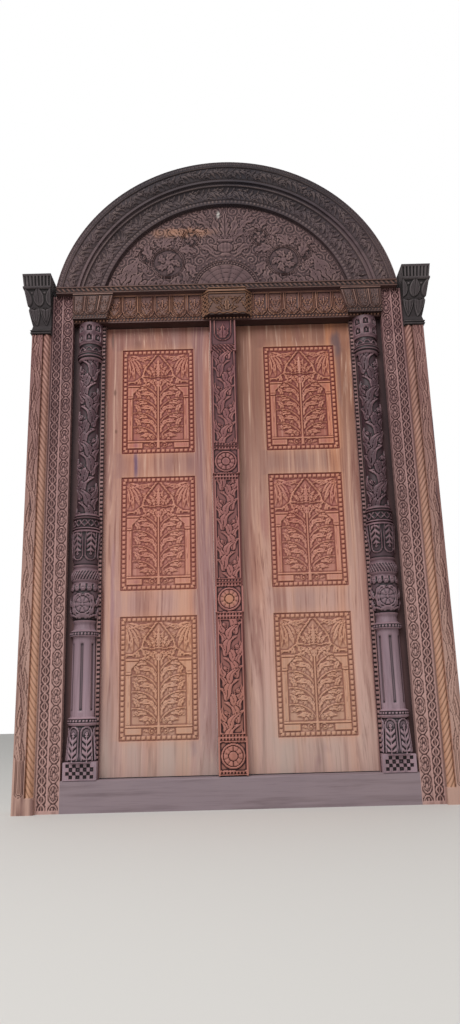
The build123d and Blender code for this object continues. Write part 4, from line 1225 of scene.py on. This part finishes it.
def panel_field(p, q):
    """Picture inside a panel's border: an arch on columns, its spandrels, a base and the tree."""
    a = abs(p)
    arch_x = profile_reach(cusped_arch, q)
    under = (a < arch_x) & (q < arch_point)
    column_x = np.where(q < column_head, column_reach, profile_reach(panel_capital, q))
    open_field = under & ((a < column_x) | (q > arch_foot)) & (q > column_foot)
    tree = np.zeros_like(p)
    for root in (-200, -128, -56, 16):
        tree = overlaid(tree, a, q, (
            ((52, root + 44), (116, root + 34), 10, 32), ((16, root + 6), (92, root + 16), 12, 30),
            ((6, root + 34), (34, root + 96), 8, 30), ((46, root + 58), (82, root + 110), 8, 30),
            ((92, root + 66), (118, root + 112), 8, 28),
        ), 2, 2.2)
        branch = (0, root - 4), (118, root + 66), 24
        tree = np.where(stem(a, q, *branch, 13) > 0, 0.0, tree)
        tree = np.maximum(tree, stem(a, q, *branch, 8))
    tree = overlaid(tree, a, q, (
        ((4, 78), (30, 118), 6, 24), ((18, 84), (66, 112), 8, 24), ((48, 92), (84, 84), -6, 20)), 4, 2.0)
    for middle in ((100, -152), (100, -80), (100, -8), (50, -128), (52, -56), (50, 16), (22, -186),
                   (50, -196)):
        reach = np.hypot(a - middle[0], q - middle[1])
        tree = np.where(reach < 11, raised(9 - reach, 2) - 0.7 * ridge(reach - 5, 2.4, 1.2), tree)
    trunk = np.interp(q, [-246, 82], [7.0, 3.6])
    tree = np.where((a < trunk + 2.0) & (q < 90), raised(trunk - a, 2), tree)
    palmette = overlaid(np.zeros_like(p), a, q, (
        ((34, 134), (64, 166), 6, 22), ((20, 132), (46, 186), 8, 24), ((6, 136), (26, 208), 6, 24),
        ((0, 132), (0, 226), 0, 26)), 4, 2.0)
    palmette = np.maximum(palmette, ridge(q - 128 - 3 * np.cos(a / 9), 2.8, 1.5) * (a < 64))
    height = np.where(open_field, np.where(q > 124, palmette, tree), np.ones_like(p))
    band_edges = (((0, 250), (63, 169), 12), ((63, 169), (70, 131), 6), ((70, 131), (115, 100), 6),
                  ((115, 100), (150, 94), 5))
    for edge in band_edges:
        height = np.maximum(height, stem(a, q, *edge, 13))
    for edge in band_edges:
        height = grooved(height, stem(a, q, *edge, 2.6), 0.75)
    spandrel = (a > arch_x + 9) & (q > 104)
    hung = overlaid(np.zeros_like(p), a, q, (
        ((34, 238), (140, 226), -8, 20), ((146, 236), (62, 206), -8, 22), ((148, 234), (78, 168), -8, 24),
        ((148, 232), (86, 128), -8, 26), ((150, 230), (118, 110), -8, 26),
        ((152, 226), (146, 112), -6, 22)), 0, 2.0)
    eye = np.hypot(a - 66, q - 186)
    hung = np.maximum(hung, raised(12 - eye, 2) - 0.8 * ridge(eye - 6.5, 2.4, 1.2))
    wave = ridge(q - 226 - 8 * np.sin((a - 50) / 16), 3.5, 2) * (a > 24)
    height = np.where(spandrel, np.maximum(hung, wave), height)
    for level, start in ((84, 84), (72, 84), (24, 119), (12, 119)):
        height = grooved(height, ridge(q - level, 1.8, 1) * (a > start) * (a < 150), 0.8)
    height = grooved(height, ridge(a - column_x, 2.4, 1.2) * (q < arch_foot - 2) * (q > column_foot))
    height = grooved(height, ridge(a - 134 - 3 * np.sin(q / 34), 1.6, 1) * (q < 10) * (q > -200), 0.35)
    for level in (column_foot, base_head):
        height = grooved(height, ridge(q - level, 1.8, 1) * (a > 8), 0.8)
    scrolls = np.maximum(curl(a, q, (30, -230), 17, 1.5, 1, 5), leaf(a, q, (46, -234), (72, -226), 3, 12, 3))
    height = np.where((q < base_head) & (a < 76), np.maximum(scrolls, raised(7 - a, 2)), height)
    return height


def panel_relief_at(p, q):
    """Height over one panel: groove, bead border, groove and field; 1 outside it."""
    rim = np.maximum(abs(p) - panel_half_width, abs(q) - panel_half_height)
    on_side = abs(p) - panel_half_width > abs(q) - panel_half_height
    along = np.where(on_side, repeated(q, panel_bead_pitch), repeated(p, panel_bead_pitch))
    strip = panel_groove + (panel_border - panel_groove) / 2
    bead = ridge(along, 9.2, 3) * ridge(rim + strip, 8.5, 2.5)
    height = np.where(rim > 0, 1.0, np.where(rim > -panel_groove, 0.0, bead))
    height = np.where(rim < -panel_border, 0.0, height)
    return np.where(rim < -panel_border - panel_groove, panel_field(p, q), height)


def panel_rows(low, high, middles, half, fine):
    """Lines along a plank: close together over the panels and far apart between them."""
    marks = [low]
    for middle in middles:
        marks += [middle - half - fine, middle + half + fine]
    marks.append(high)
    runs = [lines(start, end, plain_line if turn % 2 == 0 else fine)
            for turn, (start, end) in enumerate(zip(marks[:-1], marks[1:]))]
    return np.unique(np.concatenate(runs).round(4))


blots = (
    (-0.457, 1.575, 0.014, 0.13, (78, 58, 96), 0.75), (-0.452, 0.965, 0.016, 0.04, (96, 66, 92), 0.6),
    (0.29, 1.27, 0.055, 0.09, (128, 66, 70), 0.6), (0.262, 1.42, 0.03, 0.06, (118, 76, 96), 0.55),
    (0.15, 1.25, 0.03, 0.12, (150, 92, 88), 0.5), (-0.30, 0.66, 0.05, 0.06, (150, 84, 66), 0.5),
    (0.47, 1.36, 0.02, 0.10, (136, 88, 100), 0.45), (0.535, 2.15, 0.035, 0.10, (76, 62, 70), 0.75),
    (0.54, 1.93, 0.016, 0.22, (112, 82, 80), 0.5), (-0.56, 0.9, 0.012, 0.3, (150, 112, 124), 0.5),
    (-0.2, 1.75, 0.02, 0.28, (120, 84, 84), 0.45), (-0.575, 2.2, 0.01, 0.06, (84, 62, 56), 0.6),
    (-0.56, 1.92, 0.008, 0.02, (90, 56, 46), 0.8), (-0.553, 1.72, 0.008, 0.014, (90, 56, 46), 0.8),
    (0.42, 0.52, 0.05, 0.05, (150, 92, 82), 0.4), (-0.20, 0.30, 0.03, 0.10, (128, 108, 118), 0.5),
)


def leaf_wood_material():
    """Planed hardwood: straight dark grain, knots, lighter and greyer towards the foot, and stains.

    The darker head is painted shade, the darkened carved hollows are painted shade and dirt, and
    the lightened raised edges are painted highlight and wear.
    """
    material, shader, place = begin("leaf_wood")
    drift = place.stretched(3.0, 3.0, 0.5).noise(1.0, 2.0)
    bent = place.node("ShaderNodeVectorMath", {"operation": "ADD"}, {0: place, 1: drift * 0.16})
    band = bent.stretched(17, 17, 0.55).noise(1.0, 3.0, 0.35)
    fine = bent.stretched(95, 95, 2.2).noise(1.0, 3.0)
    pore = place.stretched(260, 260, 9).noise(1.0, 2.0)
    broad = bent.stretched(5.5, 5.5, 0.22).noise(1.0, 2.0)
    cells = bent.stretched(4.2, 4.2, 1.6)
    knot = cells.node("ShaderNodeTexVoronoi", {}, {"Vector": cells, "Scale": 1.0})
    stain = place.stretched(5.0, 5.0, 2.4).noise(1.0, 3.0).rise(0.66, 0.76)
    grey = place.stretched(8, 8, 1.2).noise(1.0, 3.0).rise(0.4, 0.7)
    level = height_share(place)
    across = axis_value(place, 0)
    # Pale at the foot and darker towards the head: painted shade.
    base = blend(level * 1.15, (202, 162, 150), (130, 88, 72))
    for tone, amount in (
            ((146, 96, 102), (1 - across.rise(-0.1, -0.08)) * 0.24),
            ((128, 96, 108), across.rise(-0.22, -0.10) * (1 - across.rise(-0.09, -0.07)) * 0.5),
            ((206, 134, 88), broad.rise(0.52, 0.7) * 0.5),
            ((152, 118, 112), (1 - broad.rise(0.32, 0.46)) * 0.6),
            ((214, 166, 140), band.rise(0.5, 0.7) * (0.55 - level * 0.25)),
            ((132, 84, 74), (1 - band.rise(0.3, 0.46)) * 0.6),
            ((118, 70, 60), fine.rise(0.5, 0.75) * 0.75),
            ((224, 188, 168), (1 - fine.rise(0.25, 0.45)) * 0.5),
            ((104, 60, 44), pore.rise(0.62, 0.9) * 0.3),
            ((104, 62, 50), (1 - knot.rise(0.02, 0.11)) * 0.55),
            ((132, 84, 96), stain * 0.55)):
        base = base.towards(paint(*tone), amount)
    base = stained(place, base, blots, front_of("left_leaf_plank"))
    foot = 1 - axis_value(place, 2).rise(0.13, 0.75)
    base = base.towards(paint(186, 168, 158), foot * (0.25 + grey * 0.5))
    carved = mark(place, "carved")
    edge = mark(place, "edge")
    warm = blend(height_share(place, 0.65, 1.15), (202, 150, 116), (190, 104, 88))
    colour = base.towards(warm, carved * (0.5 - level * 0.1))
    # Carved hollows darken, more towards the head, with painted shade and dirt; raised edges lighten with
    # wear and a painted highlight.
    deep = mark(place, "sunk") * carved * (0.1 + level * 0.2)
    colour = colour.towards(paint(104, 44, 38), deep + (0 - edge).rise(0.04, 0.45) * (0.55 + level * 0.25))
    colour = colour.towards(paint(214, 156, 124), edge.rise(0.05, 0.5) * 0.35)
    connect(shader, Base_Color=colour, Roughness=0.52 + pore * 0.25, Specular_IOR_Level=0.35,
            Normal=grain_bump(fine * 0.6 + pore * 0.4, 0.4, 0.001))
    return material


def leaf_plank(side, hand):
    """A leaf's wide plank with its three panels, and the ledges behind it: -1 is left, 1 is right."""
    low, high = box(side + "_leaf_plank")
    front, back = low[1], high[1]
    panel_x = hand * panel_from_middle
    heel_x = hand * heel_from_middle
    z = panel_rows(low[2], high[2], panel_middles, panel_half_height, panel_line)
    x = panel_rows(heel_x if hand < 0 else low[0], high[0], [panel_x], panel_half_width, panel_line)
    p, q = np.meshgrid(x - panel_x, z)
    height = np.ones_like(p)
    inside = np.zeros_like(p)
    for middle in panel_middles:
        near = abs(q - middle) <= panel_half_height + panel_line
        height = np.where(near, panel_relief_at(p, q - middle), height)
        rim = np.maximum(abs(p) - panel_half_width, abs(q - middle) - panel_half_height)
        inside = np.maximum(inside, raised(-rim, 1))
    face = front + panel_relief * (1 - height)
    if hand < 0:
        turn = lines(0, pi, pi / 12)[None, :-1]
        heel_front = np.repeat(heel_x - heel_radius * np.sin(turn), len(z), axis=0)
        heel_depth = np.repeat((front + back) / 2 + heel_radius * np.cos(turn), len(z), axis=0)
        one = np.ones((len(z), 1))
        loop_x = np.concatenate([np.broadcast_to(x, face.shape), one * x[-1], heel_front], axis=1)
        loop_y = np.concatenate([face, one * back, heel_depth], axis=1)
        points = np.stack([loop_x, loop_y, np.broadcast_to(z[:, None], loop_x.shape)], axis=-1)
    else:
        points = board_loops(x, z, face, back)
    added = points.shape[1] - face.shape[1]
    shell(side + "_leaf_plank_carved", points, face_only(height, 1.0, added), leaf_wood,
          side + "_leaf", [side + "_leaf_plank"], {"carved": face_only(inside, 0.0, added)})
    for number in range(1, ledges + 1):
        dress(f"{side}_leaf_ledge_{number}", leaf_wood)


leaf_wood = leaf_wood_material()
leaf_plank("left", -1)
low, high = box("left_leaf_edge_plank")
x = lines(low[0], high[0] + closed_joint, edge_column)
z = lines(low[2], high[2], edge_line)
points = board_loops(x, z, np.full((len(z), len(x)), low[1]), high[1])
plain = np.ones(points.shape[:2])
shell("left_leaf_edge_plank_planed", points, plain, leaf_wood, "left_leaf",
      ["left_leaf_edge_plank"], {"carved": plain * 0})
leaf_plank("right", 1)
dress("right_leaf_edge_plank", leaf_wood)


# The post is one length of red hardwood, fixed to the right leaf over the joint. From the foot up it
# has a rosette block, then foliage between ringed rosettes, each set between bead bands, and a plain
# block with a tulip.

post_relief = 6.0
post_line = 3.0
post_rosettes = (213.0, 885.0, 1534.0)
post_edge = 7.0
post_rosette_radius = 56.0
post_block_half = 60.0
post_block_top = 292.0
post_head_foot = 2101.0
post_twists = (2106.0, 2126.0)
tulip_foot = 2140.0
tulip_middle = 2200.0
post_step = 18.0
post_rim = 8.0
post_row = 3.4
post_margin = 6.0
post_foliage_pitch = 190.0
post_ring = 48.0
post_petals = 42.0
post_eye = 20.0
post_bead_bands = (-84.0, -68.0, 68.0, 84.0)


def post_picture(p, level, half):
    """Relief of the post from the distance to its middle and the level."""
    height = np.where(abs(p) < half - post_margin, foliage(p, level, post_foliage_pitch, half * 0.74), 1.0)
    for middle in post_rosettes:
        q = level - middle
        reach = np.hypot(p, q)
        rim = ridge(reach - post_ring, 4.5, 2)
        petal = 0.25 + 0.75 * abs(np.cos(np.arctan2(q, p) * 5)) ** 0.5
        petal = raised(post_petals - reach, 2) * petal * (reach > post_eye + 2)
        flower = np.maximum.reduce([rim, petal, raised(post_eye - reach, 3) * 0.9])
        height = np.where(abs(q) < post_rosette_radius, flower, height)
        for band in post_bead_bands:
            bead = bead_line(p, q - band, 14, 5.5)
            line = ridge(abs(q - band) - 7, 2.0, 1)
            height = np.where(abs(q - band) < 8.5, np.maximum(bead, line), height)
    for band in post_twists:
        twist = ridge(repeated(p * 0.7 + (level - band) * 0.8, 12), 4.5, 3)
        height = np.where(abs(level - band) < 8, twist, height)
    q = level - tulip_middle
    cup = ridge(np.hypot(p, np.minimum(q, 0)) - 40, 3.2, 1.5) * (q > -44)
    tulip = np.maximum.reduce([cup, leaf(p, q, (0, -30), (0, 50), 0, 34, 3),
                               leaf(abs(p), q, (4, -30), (26, 34), -6, 18, 3)])
    return np.where(level > tulip_foot, tulip, height)


post_wood = wood("post_wood", head=(98, 56, 64), foot=(172, 112, 104), vein=(76, 42, 48),
                 groove=(40, 15, 21), crest=(184, 128, 120), along="Z", rough=0.58, streaks=0.6, depth=0.9)
low, high = box("centre_post")
half = (high[0] - low[0]) / 2
x = lines(low[0], high[0], post_line)
z = lines(low[2], high[2], post_row)
p, q = np.meshgrid(x - (low[0] + high[0]) / 2, z)
wide = (q < post_block_top) | (q > post_head_foot)
for middle in post_rosettes[1:]:
    wide = wide | (abs(q - middle) < post_block_half)
height = post_picture(p, q, half - post_edge)
height = np.where(abs(p) > half - post_rim, 1.0, height)
stepped = (abs(p) > half - post_edge - 0.5) & ~wide
front = np.where(stepped, low[1] + post_step, low[1] + post_relief * (1 - height))
glow = raised(46 - np.hypot(p, q - post_rosettes[1]), 30) + 0.3 * raised(700 - q, 300)
# The stepped sides get a tone of 0.6, so they darken a little as painted shade.
shell("centre_post_carved", board_loops(x, z, front, high[1]), face_only(np.where(stepped, 0.6, height)),
      post_wood, "right_leaf", ["centre_post"], {"glow": face_only(glow, 0.0)})


# Each leaf turns on two iron pintles, which stand in square cups let into the sill and the lintel.
# The iron is forged, dark and matt.

def iron_material():
    """Forged iron: dark, matt, with faint brown rust."""
    material, shader, place = begin("wrought_iron")
    rust = place.noise(40.0, 4.0).rise(0.45, 0.7)
    dark = blend(place.noise(9.0, 2.0), (46, 42, 40), (66, 60, 56))
    connect(shader, Base_Color=dark.towards(paint(92, 58, 40), rust * 0.45), Roughness=0.55 + rust * 0.25,
            Metallic=0.7)
    return material


iron = iron_material()
for node in ("pivot_sockets", "left_pintles", "right_pintles"):
    dress(node, iron)


# The door stands on a plain pale floor, in soft studio light from the front and above, against a
# pale surround. The camera has a wide lens and stands low in front, tipped up and turned a little.
# None of this is part of the door.

floor_half = 12.0
floor_colour = (214, 212, 208)
key_place = (-1.6, -4.2, 5.2)
key_aim = (0.0, 0.0, 1.5)
key_size = 3.0
key_watts = 262.0
fill_strength = 0.44

camera_place = (-0.012, -3.3835, 0.42)
camera_pitch = 14.5
camera_roll = -1.5
camera_lens = 26.37
camera_sensor = 36.0

floor_mesh = bpy.data.meshes.new("floor")
floor_corners = [(x * floor_half, y * floor_half, 0) for x, y in ((-1, -1), (1, -1), (1, 1), (-1, 1))]
floor_mesh.from_pydata(floor_corners, [], [(0, 1, 2, 3)])
floor = bpy.data.objects.new("floor", floor_mesh)
bpy.context.scene.collection.objects.link(floor)
floor_material, floor_shader, _ = begin("pale_floor")
connect(floor_shader, Base_Color=paint(*floor_colour), Roughness=0.85)
floor_mesh.materials.append(floor_material)

world = bpy.data.worlds.new("surround")
bpy.context.scene.world = world
world.use_nodes = True
world_tree = world.node_tree
path = world_tree.nodes.new("ShaderNodeLightPath")
camera_ray, glossy_ray, clear_ray = (Shade(world_tree, path.outputs[name]) for name in (
    "Is Camera Ray", "Is Glossy Ray", "Is Transmission Ray"))
seen = camera_ray.math("MAXIMUM", camera_ray, glossy_ray.math("MAXIMUM", glossy_ray, clear_ray))
surround = world_tree.nodes["Background"]
surround.inputs["Color"].default_value = (1, 1, 1, 1)
strength = seen * (1 - fill_strength) + fill_strength
world_tree.links.new(strength.socket, surround.inputs["Strength"])

key_light = bpy.data.lights.new("key", "AREA")
key_light.size = key_size
key_light.energy = key_watts
key = bpy.data.objects.new("key", key_light)
key.location = key_place
key.rotation_euler = (Vector(key_aim) - Vector(key_place)).to_track_quat("-Z", "Y").to_euler()
bpy.context.scene.collection.objects.link(key)

camera_data = bpy.data.cameras.new("camera")
camera_data.lens = camera_lens
camera_data.sensor_width = camera_sensor
camera = bpy.data.objects.new("camera", camera_data)
camera.location = camera_place
level = Euler((radians(90 + camera_pitch), 0, 0)).to_quaternion()
camera.rotation_mode = "QUATERNION"
camera.rotation_quaternion = level @ Quaternion((0, 0, 1), radians(camera_roll))
bpy.context.scene.collection.objects.link(camera)
bpy.context.scene.camera = camera
bpy.context.scene.view_settings.view_transform = "Standard"
